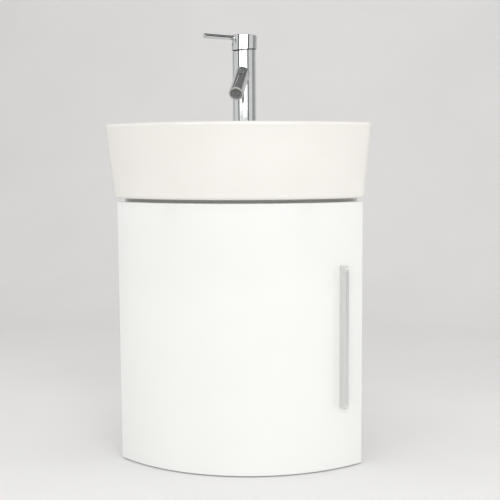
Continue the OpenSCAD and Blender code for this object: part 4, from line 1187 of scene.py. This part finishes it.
def dark_board(name, place, size, turn, grey):
    """A dark board that only polished surfaces show, to give the metal its dark lines."""
    bpy.ops.mesh.primitive_plane_add(size=1)
    board = bpy.context.object
    board.name = name
    board.scale = (size[0], size[1], 1)
    settle(board)
    move_to(board, place, turn)
    material, shader, links, principled = blank(name)
    cloud = grain(shader, links, place_of(shader, links), scale=2)
    paint(shader, links, principled, cloud, ((grey,) * 3, (grey + 0.02,) * 3))
    principled.inputs["Roughness"].default_value = 0.9
    board.data.materials.append(material)
    board.visible_camera = False
    board.visible_diffuse = False
    board.visible_shadow = False


def sky():
    """Pale surroundings, soft as light and brighter where they are seen or mirrored."""
    world = bpy.data.worlds.new("studio_world")
    bpy.context.scene.world = world
    world.use_nodes = True
    shader = world.node_tree.nodes
    links = world.node_tree.links
    soft = shader["Background"]
    soft.inputs["Color"].default_value, soft.inputs["Strength"].default_value = SOFT_SKY
    bright = shader.new("ShaderNodeBackground")
    bright.inputs["Color"].default_value, bright.inputs["Strength"].default_value = BRIGHT_SKY
    path = shader.new("ShaderNodeLightPath")
    seen = shader.new("ShaderNodeMath")
    seen.operation = "MAXIMUM"
    links.new(path.outputs["Is Camera Ray"], seen.inputs[0])
    links.new(path.outputs["Is Glossy Ray"], seen.inputs[1])
    choice = shader.new("ShaderNodeMixShader")
    links.new(seen.outputs["Value"], choice.inputs["Fac"])
    links.new(soft.outputs["Background"], choice.inputs[1])
    links.new(bright.outputs["Background"], choice.inputs[2])
    links.new(choice.outputs["Shader"], shader["World Output"].inputs["Surface"])


def studio():
    """Backdrop, surroundings, lamps, and the boards that the tap mirrors."""
    backdrop()
    sky()
    fronts = (("left_front_lamp", -30.8, 0.88, 13), ("right_front_lamp", 9.7, 2.68, 39.5))
    for name, degrees, width, power in fronts:
        place, aim = round_tap(degrees, 3.2, 1.9), round_tap(degrees, 0, 1.9)
        lamp(name, place, aim, (width, 2.0), power, mirrored=True)
    lamp("key_lamp", (1.5, -2.4, 2.3), UNIT_MIDDLE, size=(1.6, 1.6), power=9.5)
    lamp("left_lamp", (-2.5, -0.6, 1.0), UNIT_MIDDLE, size=(1.2, 2.0), power=7)
    lamp("right_lamp", (2.5, -0.6, 1.0), UNIT_MIDDLE, size=(1.2, 2.0), power=9)
    lamp("low_lamp", (0.3, -2.7, 0.2), (0, 0, 0.55), size=(2.4, 0.3), power=4.5)
    lamp("top_lamp", (0, -0.2, 3.0), (0, 0, 0.5), size=(2.4, 2.4), power=23)
    for name, degrees in (("left_board", -50.6), ("right_board", 43.2)):
        turn = (UPRIGHT, 0, math.radians(degrees))
        dark_board(name, round_tap(degrees, 3.3, 1.6), (0.55, 2.8), turn, grey=0.04)
    turn = (UPRIGHT, 0, math.radians(105))
    dark_board("side_board", round_tap(105, 3.0, 1.4), (1.7, 2.8), turn, grey=0.4)
    dark_board("rear_ceiling_board", (0, 1.5, 3.6), (7.0, 3.0), (0, 0, 0), grey=0.25)
    dark_board("ceiling_board", (-0.2, 0.1, 3.7), (7.0, 5.0), (0, 0, 0), grey=0.25)


def camera():
    """The camera that sees the unit as the photo does."""
    bpy.ops.object.camera_add(location=CAMERA_PLACE)
    eye = bpy.context.object
    eye.name = "photo_camera"
    eye.rotation_euler = [math.radians(degrees) for degrees in CAMERA_TURN]
    eye.data.lens = CAMERA_LENS
    eye.data.sensor_width = 36
    eye.data.shift_x, eye.data.shift_y = CAMERA_SHIFT
    bpy.context.scene.camera = eye


camera()
studio()
bpy.context.scene.view_settings.view_transform = "Standard"
